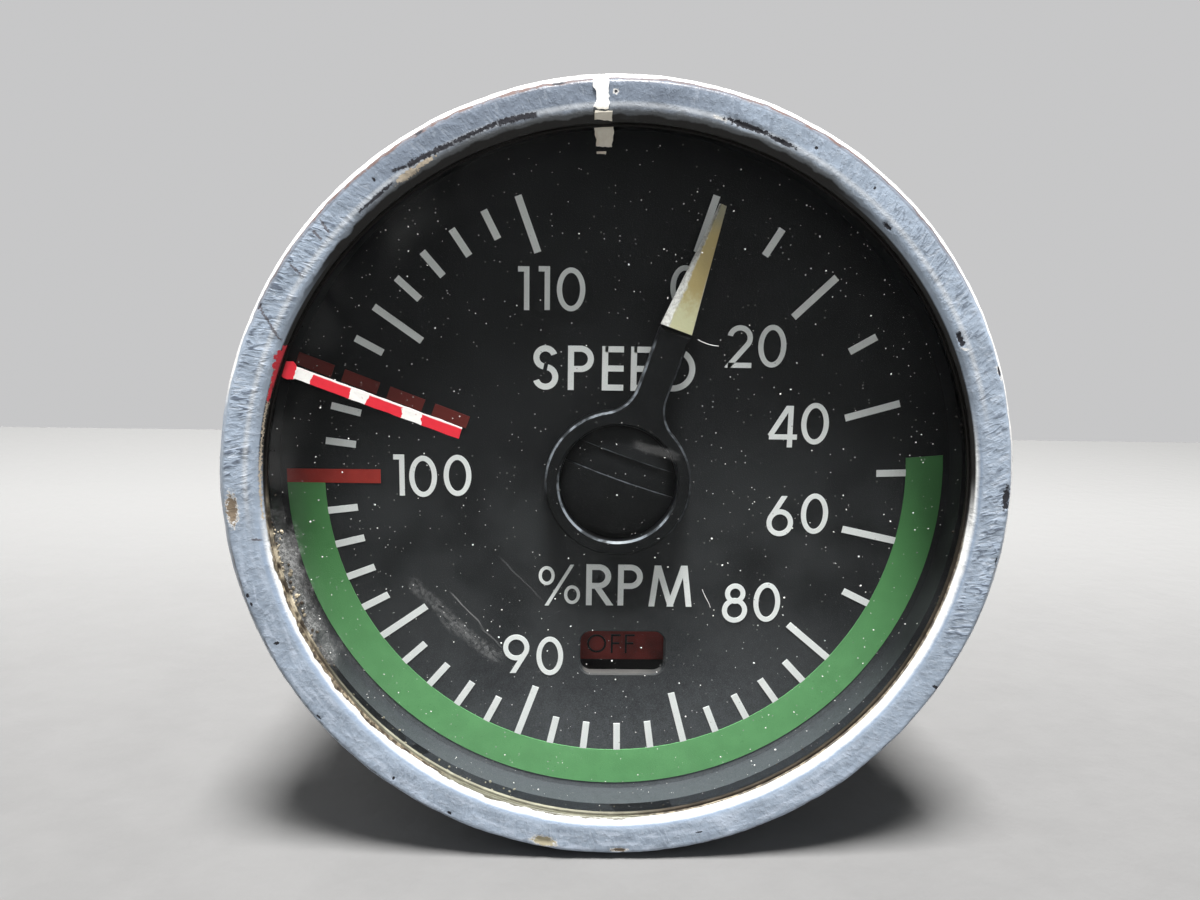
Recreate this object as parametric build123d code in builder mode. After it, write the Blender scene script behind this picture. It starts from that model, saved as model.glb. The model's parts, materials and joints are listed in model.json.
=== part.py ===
"""Core speed indicator: a round, clamp-mounted panel instrument that shows engine speed in per cent.

The dial faces -Y, +Z is up, and the axis of the instrument is Y. The origin lies on that axis, in the
plane of the panel face, the rear of the bezel. The case runs back from there towards +Y.
Angles on the dial are in degrees clockwise from the top, as the reader sees them.
"""

import os
from math import cos, degrees, radians, sin, sqrt

from build123d import *

os.makedirs("parts", exist_ok=True)

# Fits
seat_gap = 0.03
running_gap = 0.05
bore_gap = 0.15
edge_break = 0.3

# Case and bezel
case_radius = 25.4
case_wall = 1.2
case_length = 104.0
collar_step = 0.8
collar_wall = 1.3
shoulder_thickness = 0.5
bezel_wall = 0.77
bezel_edge_width = 0.6
bezel_edge_depth = 1.0
lip_overlap = 2.15
lip_depth = 0.65
lip_bevel_width = 0.6
lip_bevel_depth = 0.4

# Glass, seal and the ring behind it
glass_edge_gap = 0.23
glass_thickness = 2.0
glass_chamfer = 0.15
seal_thickness = 0.25
seal_overhang = 0.12
shroud_depth = 2.2
shroud_setback = 0.45

# Dial and its printing
dial_edge_gap = 0.1
dial_thickness = 0.8
dial_hole_gap = 0.5
print_thickness = 0.05
print_margin = 0.05
band_width = 2.7
long_mark_length = 4.05
short_mark_length = 2.15
mark_width = 0.5
red_line_reach = 4.0
red_line_width = 1.0
dash_setback = 9.6
dash_length = 2.62
dash_gap = 0.76
dash_width = 0.9
dash_count = 4
dash_angle = 290.4

# Scale: 14 degrees for each ten up to 80, then 7 degrees for each one
zero_angle = 18.0
degrees_per_ten = 14.0
degrees_per_one = 7.0
coarse_end = 80
scale_end = 110
band_start_angle = 85.0
red_line_value = 100
dashed_value = 103

# OFF window and flag
window_x = 0.65
window_z = -13.3
window_width = 6.3
window_height = 3.3
window_corner_radius = 0.8
window_chamfer = 0.12
flag_gap = 0.4
flag_thickness = 0.4
flag_side_overlap = 1.25
flag_top_overlap = 1.55
flag_drop_gap = 0.65
flag_corner_radius = 0.4
flag_arm_width = 1.6
flag_eye_wall = 0.6
flag_shaft_radius = 0.6
flag_pivot_inset = 4.25
flag_pivot_direction = -42.75
flag_motor_radius = 3.8
flag_motor_length = 8.0
flag_motor_chamfer = 0.4
flag_shaft_end_gap = 0.4
flag_motor_floor = 0.6

# Pointer
pointer_angle = 19.3
pointer_thickness = 0.8
pointer_height = 1.9
pointer_edge = 0.15
hub_radius = 5.2
hub_wall = 1.0
hub_floor_thickness = 0.45
hub_lift_gap = 0.35
hub_boss_radius = 1.9
arm_width = 2.3
arm_neck_width = 2.15
arm_neck_fillet = 2.6
arm_length = 11.35
tip_joint_gap = 0.2
tip_end_gap = 0.65
tip_end_width = 0.5
tip_thickness = 0.8
tongue_thickness = 0.3
tongue_setback = 1.45
cap_gap = 0.1
cap_edge_height = 0.35
cap_slot_width = 1.7
cap_slot_depth = 0.2
cap_slot_offset = 1.15
shaft_radius = 1.2
shaft_nose_length = 1.3
shaft_end_length = 1.6
clip_setback = 1.0
clip_thickness = 0.35
clip_width = 1.2
clip_groove_depth = 0.3

# Movement plates
plate_edge_gap = 0.2
plate_thickness = 1.6
dial_to_plate_gap = 3.1
bearing_wall = 1.95
bearing_flange_width = 0.7
bearing_flange_thickness = 0.4
post_inset = 3.6
post_angles = (60.0, 200.0, 300.0)
pillar_radius = 1.8
post_flats_width = 4.4
stud_radius = 1.0
stud_length = 2.6
head_radius = 1.8
head_height = 1.0
driver_slot_width = 0.4
driver_slot_share = 0.45

# Gears
gear_module = 0.5
gear_width = 1.5
gear_overlap = 0.4
gear_boss_wall = 1.0
output_boss_length = 1.5
idler_boss_length = 1.5
feedback_boss_length = 0.75
output_teeth = 40
idler_pinion_teeth = 12
idler_teeth = 32
motor_teeth = 12
feedback_teeth = 26
tooth_share = 0.42
tooth_foot = 1.2
tooth_crest = 0.9
flank_slope = 0.4
front_gear_gap = 1.0
idler_gear_gap = 1.3
feedback_gear_gap = 1.5
rear_gear_gap = 0.95
idler_direction = 150.0
motor_direction = 32.5
feedback_direction = 0.0
spindle_radius = 1.0
spindle_chamfer = 0.15
spindle_depth = 5.0
spindle_end_gap = 0.5
motor_shaft_nose_length = 0.2
feedback_shaft_nose_length = 0.4

# Motor and feedback potentiometer
motor_radius = 8.0
motor_length = 28.0
motor_step = 0.4
motor_chamfer = 0.8
gearhead_length = 9.0
potentiometer_radius = 7.6
potentiometer_length = 12.0
potentiometer_chamfer = 0.5
pilot_radius = 2.8
small_screw_circle_radius = 5.4
small_screw_radius = 0.7
small_screw_depth = 2.5
small_screw_end_gap = 0.5
small_screws_each = 3
small_head_radius = 1.2
small_head_height = 0.8
thin_head_height = 0.48

# Circuit boards
board_edge_gap = 1.6
board_thickness = 1.6
board_spacing = 20.0
motor_to_board_gap = 4.2
notch_width = 9.0
notch_depth = 3.0
transformer_length = 14.0
transformer_width = 11.2
transformer_height = 12.0
transformer_offset = 9.0
core_length = 17.5
core_width = 8.4
core_height = 7.2
core_lift_gap = 2.4
capacitor_radius = 3.2
capacitor_height = 11.0
capacitor_pitch = 9.0
capacitor_offset = 9.0
package_edge = 0.5
can_radius = 4.4
can_height = 6.4
can_flange_thickness = 0.5
can_offset = 14.0
chip_length = 14.0
chip_width = 6.4
chip_height = 3.4
chip_chamfer = 0.4
chip_pitch = 9.6
chip_lead_width = 0.72
chip_lead_thickness = 0.6
chip_lead_pitch = 2.0
chip_leads_per_side = 7
chip_count = 3
chip_standoff_height = 0.5

# Rear cover and connector
cover_thickness = 2.0
cover_spigot_length = 4.0
cover_hole_gap = 0.6
cover_setback = 0.5
ring_width = 1.3
ring_setback = 2.0
cover_screw_length = 8.0
shell_flange_width = 22.0
shell_flange_thickness = 1.6
shell_corner_radius = 2.5
shell_radius = 8.4
shell_wall = 1.2
shell_length = 12.0
shell_tail_length = 6.0
gasket_thickness = 0.5
insert_depth = 10.0
insert_length = 12.0
pin_radius = 0.5
pin_reach_length = 5.4
pin_tail_length = 3.0
pin_circle_radius = 4.6
outer_pins = 8
inner_pins = 2
inner_pin_circle_radius = 1.6
lug_radius = 0.8
lug_height = 0.7
lug_root_depth = 0.2
lug_setback = 3.0
lug_count = 3
flange_screw_inset = 2.5
flange_screw_depth = 3.5

# Service marks on the front
stripe_angle = 289.8
stripe_width = 0.72
stripe_length = 12.25
stripe_end_gap = 0.08
index_x = -1.45
index_width = 1.05
index_bezel_width = 0.84
index_glass_length = 1.2
index_lip_gap = 0.1
index_edge_gap = 0.05

# Radii that follow from the sizes, from the case outwards and inwards
case_bore = case_radius - case_wall
collar_radius = case_radius + collar_step
collar_bore = collar_radius - collar_wall
bezel_bore = collar_radius + seat_gap
bezel_radius = bezel_bore + bezel_wall
glass_radius = bezel_bore - glass_edge_gap
lip_radius = glass_radius - lip_overlap
seal_radius = lip_radius - seal_overhang
shroud_radius = lip_radius + shroud_setback
dial_radius = collar_bore - dial_edge_gap
dial_hole_radius = hub_boss_radius + dial_hole_gap
band_outer_radius = lip_radius - print_margin
scale_radius = band_outer_radius - band_width
dash_inner_radius = scale_radius - dash_setback
tip_end_radius = scale_radius - tip_end_gap
tip_start_radius = arm_length + tip_joint_gap
tongue_end_radius = tip_end_radius - tongue_setback
hub_bore_radius = hub_radius - hub_wall
plate_radius = case_bore - plate_edge_gap
board_radius = case_bore - board_edge_gap
post_circle_radius = plate_radius - post_inset
bearing_bore = shaft_radius + running_gap
bearing_radius = bearing_bore + bearing_wall
bearing_flange_radius = bearing_radius + bearing_flange_width
spigot_radius = case_bore - bore_gap
cover_hole_radius = shell_radius + cover_hole_gap
flange_screw_pitch = shell_flange_width - 2 * flange_screw_inset

# Places along the axis: the front stack counts forwards from the shoulder behind the dial
dial_rear = -shoulder_thickness
dial_front = dial_rear - dial_thickness
glass_rear = dial_front - shroud_depth
glass_front = glass_rear - glass_thickness
bezel_front = glass_front - seal_thickness - lip_depth

# Places along the axis: the movement counts backwards from the dial
front_plate_y = dial_rear + dial_to_plate_gap
front_plate_rear = front_plate_y + plate_thickness
output_gear_y = front_plate_rear + front_gear_gap
idler_gear_y = output_gear_y + gear_width + idler_gear_gap
feedback_gear_y = idler_gear_y + gear_width + feedback_gear_gap
gear_plate_y = feedback_gear_y + gear_width + feedback_boss_length + rear_gear_gap
gear_plate_rear = gear_plate_y + plate_thickness
pinion_width = gear_width + 2 * gear_overlap
first_board_y = gear_plate_rear + motor_length + motor_to_board_gap
second_board_y = first_board_y + board_thickness + board_spacing

# Places along the axis: the rear end counts backwards from the end of the case
spigot_front = case_length - cover_spigot_length
cover_rear = case_length + cover_thickness
gasket_rear = cover_rear + gasket_thickness
flange_rear = gasket_rear + shell_flange_thickness
shell_end = flange_rear + shell_length
insert_face = shell_end - insert_depth


def across(y):
    """Plane across the axis at y, as the reader sees it: X to the right, Z up, facing the reader."""
    return Plane(origin=(0, y, 0), x_dir=(1, 0, 0), z_dir=(0, -1, 0))


def dial_place(angle, radius):
    """Place on the dial at a clockwise angle from the top, with local X pointing outwards."""
    turn = 90.0 - angle
    return Location((radius * cos(radians(turn)), radius * sin(radians(turn))), turn)


def value_angle(value):
    """Dial angle of a reading in per cent."""
    coarse = min(value, coarse_end) / 10 * degrees_per_ten
    return zero_angle + coarse + max(value - coarse_end, 0) * degrees_per_one


def polar(radius, direction):
    """Point at a radius and a direction, in degrees from +X towards +Z."""
    return (radius * cos(radians(direction)), radius * sin(radians(direction)))


def gear_phase(teeth, direction, gap):
    """Turn that puts a tooth, or a gap between teeth, on the line of centres."""
    return direction + (180.0 / teeth if gap else 0.0)


def gear(name, teeth, centre, y, width, bore, phase, boss=0.0):
    """Spur wheel with straight-flanked teeth, seen from the front, with a boss behind it if asked."""
    pitch_radius = gear_module * teeth / 2
    root_radius = pitch_radius - tooth_foot * gear_module
    tip_radius = pitch_radius + tooth_crest * gear_module
    half_pitch = pitch_radius * radians(360.0 / teeth) * tooth_share / 2
    foot = half_pitch + flank_slope * (pitch_radius - root_radius)
    crest = half_pitch - flank_slope * (tip_radius - pitch_radius)
    outline = []
    for tooth in range(teeth):
        middle = phase + 360.0 * tooth / teeth
        for radius, side in (
            (root_radius, -foot),
            (tip_radius, -crest),
            (tip_radius, crest),
            (root_radius, foot),
        ):
            outline.append(polar(radius, middle + degrees(side / radius)))
    with BuildPart() as wheel:
        with BuildSketch(across(y)):
            with Locations(centre):
                Polygon(*outline, align=None)
                Circle(bore, mode=Mode.SUBTRACT)
        extrude(amount=-width)
        if boss:
            with BuildSketch(across(y + width)):
                with Locations(centre):
                    Circle(bore + gear_boss_wall)
                    Circle(bore, mode=Mode.SUBTRACT)
            extrude(amount=-boss)
    wheel.part.label = name
    export_step(wheel.part, f"parts/{name}.step")


def screws(name, places, y, radius, head, height, length, towards=1):
    """Slotted cheese-head screws with their heads' seats at y, pointing towards +Y or -Y."""
    with BuildPart() as group:
        with BuildSketch(across(y)):
            with Locations(*places):
                Circle(radius)
        extrude(amount=-towards * length)
        with BuildSketch(across(y)):
            with Locations(*places):
                Circle(head)
        extrude(amount=towards * height)
        with BuildSketch(across(y - towards * height)):
            with Locations(*places):
                Rectangle(3 * head, driver_slot_width)
        extrude(amount=-towards * height * driver_slot_share, mode=Mode.SUBTRACT)
    group.part.label = name
    export_step(group.part, f"parts/{name}.step")


def spindle(name, centre, y, radius, length):
    """Plain round shaft from y backwards, with broken edges."""
    with BuildPart() as bar:
        with BuildSketch(across(y)):
            with Locations(centre):
                Circle(radius)
        extrude(amount=-length)
        chamfer(bar.edges().filter_by(GeomType.CIRCLE), spindle_chamfer)
    bar.part.label = name
    export_step(bar.part, f"parts/{name}.step")


def standoffs(name, y, rear):
    """Hexagonal posts on the post circle, with a stud in front and a tapped bore behind."""
    with BuildPart() as posts:
        with BuildSketch(across(y)):
            with Locations(*post_places):
                RegularPolygon(post_flats_width / 2, 6, major_radius=False)
        extrude(amount=-(rear - y))
        with BuildSketch(across(y)):
            with Locations(*post_places):
                Circle(stud_radius)
        extrude(amount=stud_length)
        with BuildSketch(across(rear)):
            with Locations(*post_places):
                Circle(stud_radius + seat_gap)
        extrude(amount=stud_length + board_thickness, mode=Mode.SUBTRACT)
    posts.part.label = name
    export_step(posts.part, f"parts/{name}.step")


post_places = [polar(post_circle_radius, angle) for angle in post_angles]
pointer_centre = (0.0, 0.0)
idler_centre = polar(gear_module * (output_teeth + idler_pinion_teeth) / 2, idler_direction)
motor_offset = polar(gear_module * (idler_teeth + motor_teeth) / 2, motor_direction)
motor_centre = (idler_centre[0] + motor_offset[0], idler_centre[1] + motor_offset[1])
feedback_centre = polar(gear_module * feedback_teeth, feedback_direction)
flag_pivot = polar(plate_radius - flag_pivot_inset, flag_pivot_direction)
can_places = [(-can_offset, 0.0), (can_offset, 0.0)]
capacitor_places = [(column * capacitor_pitch, -capacitor_offset) for column in (-1, 0, 1)]


# Bezel: a turned ring with a bevelled lip, pressed over the front collar of the case
with BuildPart() as bezel:
    with BuildSketch(Plane.XY):
        with BuildLine():
            Polyline(
                (bezel_bore, 0),
                (bezel_radius, 0),
                (bezel_radius, bezel_front + bezel_edge_depth),
                (bezel_radius - bezel_edge_width, bezel_front),
                (lip_radius + lip_bevel_width, bezel_front),
                (lip_radius, bezel_front + lip_bevel_depth),
                (lip_radius, bezel_front + lip_depth),
                (bezel_bore, bezel_front + lip_depth),
                close=True,
            )
        face = make_face()
        corners = face.vertices().group_by(Axis.Y)
        fillet(corners[0], edge_break)
    revolve(axis=Axis.Y)
bezel.part.label = "bezel"
export_step(bezel.part, "parts/bezel.step")

# Seal: the bead of sealant between the lip and the glass, squeezed a little past the lip
with BuildPart() as glass_seal:
    with BuildSketch(across(glass_front)):
        Circle(glass_radius)
        Circle(seal_radius, mode=Mode.SUBTRACT)
    extrude(amount=seal_thickness)
glass_seal.part.label = "glass_seal"
export_step(glass_seal.part, "parts/glass_seal.step")

# Front glass: a flat disc with ground edges
with BuildPart() as front_glass:
    with BuildSketch(across(glass_front)):
        Circle(glass_radius)
    extrude(amount=-glass_thickness)
    chamfer(front_glass.edges().filter_by(GeomType.CIRCLE), glass_chamfer)
front_glass.part.label = "front_glass"
export_step(front_glass.part, "parts/front_glass.step")

# Shroud: the black ring that holds the glass off the dial
with BuildPart() as dial_shroud:
    with BuildSketch(across(glass_rear)):
        Circle(collar_bore - seat_gap)
        Circle(shroud_radius, mode=Mode.SUBTRACT)
    extrude(amount=-shroud_depth)
dial_shroud.part.label = "dial_shroud"
export_step(dial_shroud.part, "parts/dial_shroud.step")

# Dial plate with the shaft hole and the OFF window
with BuildPart() as dial_plate:
    with BuildSketch(across(dial_front)):
        Circle(dial_radius)
        Circle(dial_hole_radius, mode=Mode.SUBTRACT)
        with Locations((window_x, window_z)):
            RectangleRounded(window_width, window_height, window_corner_radius, mode=Mode.SUBTRACT)
    extrude(amount=-dial_thickness)
    window_rim = (
        dial_plate.faces().sort_by(Axis.Y)[0].inner_wires().sort_by(SortBy.LENGTH)[-1].edges()
    )
    chamfer(window_rim, window_chamfer)
dial_plate.part.label = "dial_plate"
export_step(dial_plate.part, "parts/dial_plate.step")

# Scale marks: long at the numbered and half-way readings, short between them
with BuildPart() as scale_marks:
    readings = list(range(0, coarse_end, 10)) + list(range(coarse_end, scale_end + 1))
    for reading in readings:
        if reading in (red_line_value, dashed_value):
            continue
        numbered = reading % 20 == 0 if reading < coarse_end else reading % 5 == 0
        mark = long_mark_length if numbered else short_mark_length
        with BuildSketch(across(dial_front)):
            with Locations(dial_place(value_angle(reading), scale_radius)):
                Rectangle(mark, mark_width, align=(Align.MAX, Align.CENTER))
        extrude(amount=print_thickness)
scale_marks.part.label = "scale_marks"
export_step(scale_marks.part, "parts/scale_marks.step")

# Green band: the normal range, an arc from its start round the bottom to the red line
band_turn = value_angle(red_line_value) - band_start_angle
with BuildPart() as green_band:
    with BuildSketch(across(dial_front)):
        with BuildLine():
            first = 90.0 - band_start_angle
            CenterArc((0, 0), scale_radius, first, -band_turn)
            CenterArc((0, 0), band_outer_radius, first, -band_turn)
            Line(polar(scale_radius, first), polar(band_outer_radius, first))
            last = first - band_turn
            Line(polar(scale_radius, last), polar(band_outer_radius, last))
        make_face()
        with Locations(dial_place(value_angle(red_line_value), band_outer_radius)):
            Rectangle(2 * band_width, red_line_width, align=(Align.MAX, Align.CENTER), mode=Mode.SUBTRACT)
    extrude(amount=print_thickness)
green_band.part.label = "green_band"
export_step(green_band.part, "parts/green_band.step")

# Red marks: the red line at 100 and the dashed line above it
with BuildPart() as red_marks:
    with BuildSketch(across(dial_front)):
        with Locations(dial_place(value_angle(red_line_value), band_outer_radius)):
            Rectangle(band_width + red_line_reach, red_line_width, align=(Align.MAX, Align.CENTER))
        for dash in range(dash_count):
            start = dash_inner_radius + dash * (dash_length + dash_gap)
            with Locations(dial_place(dash_angle, start)):
                Rectangle(dash_length, dash_width, align=(Align.MIN, Align.CENTER))
    extrude(amount=print_thickness)
red_marks.part.label = "red_marks"
export_step(red_marks.part, "parts/red_marks.step")

# OFF flag: a red vane on an arm that swings up and away on its own shaft when the power is on
flag_z = window_z - window_height / 2 + flag_drop_gap
flag_width = window_width + 2 * flag_side_overlap
flag_height = window_height - flag_drop_gap + flag_top_overlap
with BuildPart() as off_flag:
    with BuildSketch(across(dial_rear + flag_gap)):
        with Locations((window_x, flag_z)):
            RectangleRounded(
                flag_width, flag_height, flag_corner_radius, align=(Align.CENTER, Align.MIN)
            )
        with BuildLine():
            Line((window_x, flag_z + flag_height / 2), flag_pivot)
        trace(line_width=flag_arm_width)
        with Locations(flag_pivot):
            Circle(flag_shaft_radius + flag_eye_wall)
            Circle(flag_shaft_radius, mode=Mode.SUBTRACT)
    extrude(amount=-flag_thickness)
off_flag.part.label = "off_flag"
export_step(off_flag.part, "parts/off_flag.step")

# Pointer: a cup-shaped hub with a flat arm, and a thin tongue that carries the tip
pointer_front = dial_front - pointer_height
pointer_rear = pointer_front + pointer_thickness
hub_rear = dial_front - hub_lift_gap
hub_floor_front = hub_rear - hub_floor_thickness
arm_turn = 90.0 - pointer_angle
tip_run = tip_end_radius - tip_start_radius
tongue_end_width = arm_width - (arm_width - tip_end_width) * (tongue_end_radius - tip_start_radius) / tip_run
with BuildPart() as pointer:
    with BuildSketch(across(pointer_rear)) as arm_outline:
        with Locations(Location((0, 0), arm_turn)):
            Polygon(
                (0, -arm_neck_width / 2),
                (arm_length, -arm_width / 2),
                (arm_length, arm_width / 2),
                (0, arm_neck_width / 2),
                align=None,
            )
        Circle(hub_radius)
        necks = arm_outline.vertices().sort_by_distance(polar(hub_radius, arm_turn))
        fillet(necks[:2], arm_neck_fillet)
    extrude(amount=pointer_thickness)
    with BuildSketch(across(hub_rear)):
        Circle(hub_radius)
    extrude(amount=hub_rear - pointer_rear)
    with BuildSketch(across(pointer_front)):
        Circle(hub_bore_radius)
    extrude(amount=-(hub_floor_front - pointer_front), mode=Mode.SUBTRACT)
    rims = pointer.faces().filter_by(Axis.Y).sort_by(Axis.Y)[0].edges()
    chamfer(rims, pointer_edge)
    with BuildSketch(across(hub_rear)):
        Circle(hub_boss_radius)
    extrude(amount=-(hub_lift_gap + dial_thickness / 2))
    with BuildSketch(across(pointer_front)):
        Circle(shaft_radius + seat_gap / 2)
    extrude(amount=-2 * pointer_height, mode=Mode.SUBTRACT)
    with BuildSketch(across(pointer_rear)):
        with Locations(Location((0, 0), arm_turn)):
            Polygon(
                (arm_length - tongue_thickness, -arm_neck_width / 2),
                (arm_length, -arm_neck_width / 2),
                (tongue_end_radius, -tongue_end_width / 4),
                (tongue_end_radius, tongue_end_width / 4),
                (arm_length, arm_neck_width / 2),
                (arm_length - tongue_thickness, arm_neck_width / 2),
                align=None,
            )
    extrude(amount=tongue_thickness)
pointer.part.label = "pointer"
export_step(pointer.part, "parts/pointer.step")

# Pointer tip: an ivory wedge with a ridge, seated on the tongue
tip_rear = pointer_rear - tongue_thickness


def tip_section(width, height):
    """Section of the tip: a narrow steep side on the left and a wide gentle slope on the right."""
    return [
        (-width / 2, 0),
        (width / 2, 0),
        (width / 2, height * 0.6),
        (width * 0.28, height),
        (-width / 2, height * 0.35),
    ]


with BuildPart() as pointer_tip:
    for radius, width in ((tip_start_radius, arm_width), (tip_end_radius, tip_end_width)):
        out = polar(1.0, arm_turn)
        start = Plane(
            origin=(out[0] * radius, tip_rear, out[1] * radius),
            x_dir=(-out[1], 0, out[0]),
            z_dir=(out[0], 0, out[1]),
        )
        with BuildSketch(start):
            Polygon(*tip_section(width, tip_thickness * sqrt(width / arm_width)), align=None)
    loft(ruled=True)
pointer_tip.part.label = "pointer_tip"
export_step(pointer_tip.part, "parts/pointer_tip.step")

# Hub cap: a low black dome in the hub. A broad slot crosses it, to one side, and its floor follows the dome
cap_radius = hub_bore_radius - cap_gap
cap_rise = hub_floor_front - pointer_front - cap_edge_height
dome_radius = (cap_radius**2 + cap_rise**2) / (2 * cap_rise)
dome_centre = (0, pointer_front + dome_radius, 0)
with BuildPart() as hub_cap:
    with BuildSketch(across(hub_floor_front)):
        Circle(cap_radius)
    extrude(amount=hub_floor_front - pointer_front + cap_gap)
    with Locations(dome_centre):
        Sphere(dome_radius, mode=Mode.INTERSECT)
    with BuildSketch(across(hub_floor_front)):
        Circle(shaft_radius + seat_gap)
    extrude(amount=shaft_nose_length - hub_lift_gap - hub_floor_thickness, mode=Mode.SUBTRACT)
    with BuildPart(mode=Mode.SUBTRACT):
        with BuildSketch(across(pointer_front)):
            with Locations(Location((0, 0), arm_turn)):
                with Locations((cap_slot_offset, 0)):
                    Rectangle(cap_slot_width, 2 * hub_radius)
        extrude(amount=-(hub_floor_front - pointer_front))
        with Locations(dome_centre):
            Sphere(dome_radius - cap_slot_depth, mode=Mode.SUBTRACT)
hub_cap.part.label = "hub_cap"
export_step(hub_cap.part, "parts/hub_cap.step")

# Pointer shaft: through the dial and both plates, with a groove for its retaining clip
shaft_front = dial_front - shaft_nose_length
shaft_rear = gear_plate_rear + bearing_flange_thickness + shaft_end_length
clip_bore = shaft_radius - clip_groove_depth
with BuildPart() as pointer_shaft:
    with BuildSketch(across(shaft_front)):
        Circle(shaft_radius)
    extrude(amount=-(shaft_rear - shaft_front))
    chamfer(pointer_shaft.edges().filter_by(GeomType.CIRCLE), spindle_chamfer)
    with BuildSketch(across(shaft_rear - clip_setback)):
        Circle(shaft_radius)
        Circle(clip_bore, mode=Mode.SUBTRACT)
    extrude(amount=-(clip_thickness + running_gap), mode=Mode.SUBTRACT)
pointer_shaft.part.label = "pointer_shaft"
export_step(pointer_shaft.part, "parts/pointer_shaft.step")

# Front plate of the movement: a round plate with bearing holes and a window cut-away for the flag
with BuildPart() as front_plate:
    with BuildSketch(across(front_plate_y)):
        Circle(plate_radius)
        Circle(bearing_radius + seat_gap, mode=Mode.SUBTRACT)
        with Locations(idler_centre):
            Circle(spindle_radius + running_gap, mode=Mode.SUBTRACT)
        with Locations(flag_pivot):
            Circle(flag_shaft_radius + bore_gap, mode=Mode.SUBTRACT)
        with Locations(*post_places):
            Circle(stud_radius + seat_gap, mode=Mode.SUBTRACT)
    extrude(amount=-plate_thickness)
    chamfer(front_plate.edges().filter_by(GeomType.CIRCLE).sort_by(SortBy.RADIUS)[-2:], edge_break)
front_plate.part.label = "front_plate"
export_step(front_plate.part, "parts/front_plate.step")

# Gear plate: closes the gear train and carries the motor and the potentiometer behind it
with BuildPart() as gear_plate:
    with BuildSketch(across(gear_plate_y)):
        Circle(plate_radius)
        Circle(bearing_radius + seat_gap, mode=Mode.SUBTRACT)
        with Locations(idler_centre):
            Circle(spindle_radius + running_gap, mode=Mode.SUBTRACT)
        with Locations(motor_centre, feedback_centre):
            Circle(pilot_radius + seat_gap, mode=Mode.SUBTRACT)
            with PolarLocations(small_screw_circle_radius, small_screws_each):
                Circle(small_screw_radius + seat_gap, mode=Mode.SUBTRACT)
        with Locations(*post_places):
            Circle(stud_radius + seat_gap, mode=Mode.SUBTRACT)
    extrude(amount=-plate_thickness)
    chamfer(gear_plate.edges().filter_by(GeomType.CIRCLE).sort_by(SortBy.RADIUS)[-2:], edge_break)
gear_plate.part.label = "gear_plate"
export_step(gear_plate.part, "parts/gear_plate.step")

# Pillars between the two plates, tapped at both ends
with BuildPart() as plate_pillars:
    with BuildSketch(across(front_plate_rear)):
        with Locations(*post_places):
            Circle(pillar_radius)
            Circle(stud_radius + seat_gap, mode=Mode.SUBTRACT)
    extrude(amount=-(gear_plate_y - front_plate_rear))
plate_pillars.part.label = "plate_pillars"
export_step(plate_pillars.part, "parts/plate_pillars.step")

screws("pillar_screws", post_places, front_plate_y, stud_radius, head_radius, head_height,
       plate_thickness + stud_length)

# Bearings of the pointer shaft: flanged sleeves pressed into the two plates
with BuildPart() as front_bearing:
    with BuildSketch(Plane.XY):
        with BuildLine():
            Polyline(
                (bearing_bore, front_plate_y - bearing_flange_thickness),
                (bearing_flange_radius, front_plate_y - bearing_flange_thickness),
                (bearing_flange_radius, front_plate_y),
                (bearing_radius, front_plate_y),
                (bearing_radius, front_plate_rear),
                (bearing_bore, front_plate_rear),
                close=True,
            )
        make_face()
    revolve(axis=Axis.Y)
front_bearing.part.label = "front_bearing"
export_step(front_bearing.part, "parts/front_bearing.step")

with BuildPart() as rear_bearing:
    with BuildSketch(Plane.XY):
        with BuildLine():
            Polyline(
                (bearing_bore, gear_plate_y),
                (bearing_radius, gear_plate_y),
                (bearing_radius, gear_plate_rear),
                (bearing_flange_radius, gear_plate_rear),
                (bearing_flange_radius, gear_plate_rear + bearing_flange_thickness),
                (bearing_bore, gear_plate_rear + bearing_flange_thickness),
                close=True,
            )
        make_face()
    revolve(axis=Axis.Y)
rear_bearing.part.label = "rear_bearing"
export_step(rear_bearing.part, "parts/rear_bearing.step")

# Clip in the groove at the rear end of the pointer shaft
with BuildPart() as shaft_clip:
    with BuildSketch(across(shaft_rear - clip_setback)):
        Circle(shaft_radius + clip_width)
        Circle(clip_bore + seat_gap, mode=Mode.SUBTRACT)
        Rectangle(
            2 * clip_bore - clip_groove_depth,
            3 * shaft_radius,
            align=(Align.CENTER, Align.MAX),
            mode=Mode.SUBTRACT,
        )
    extrude(amount=-clip_thickness)
shaft_clip.part.label = "shaft_clip"
export_step(shaft_clip.part, "parts/shaft_clip.step")

# Gear train: motor pinion, idler wheel, idler pinion, output wheel, then the feedback pair
idler_back = idler_direction + 180.0
motor_back = motor_direction + 180.0
feedback_back = feedback_direction + 180.0
gear("output_gear", output_teeth, pointer_centre, output_gear_y, gear_width,
     shaft_radius + seat_gap / 2, gear_phase(output_teeth, idler_direction, False), output_boss_length)
gear("idler_pinion", idler_pinion_teeth, idler_centre, output_gear_y - gear_overlap, pinion_width,
     spindle_radius + seat_gap / 2, gear_phase(idler_pinion_teeth, idler_back, True))
gear("idler_gear", idler_teeth, idler_centre, idler_gear_y, gear_width,
     spindle_radius + seat_gap / 2, gear_phase(idler_teeth, motor_direction, False), idler_boss_length)
gear("motor_pinion", motor_teeth, motor_centre, idler_gear_y - gear_overlap, pinion_width,
     spindle_radius + seat_gap / 2, gear_phase(motor_teeth, motor_back, True))
gear("feedback_drive_gear", feedback_teeth, pointer_centre, feedback_gear_y, gear_width,
     shaft_radius + seat_gap / 2, gear_phase(feedback_teeth, feedback_direction, False),
     feedback_boss_length)
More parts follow.
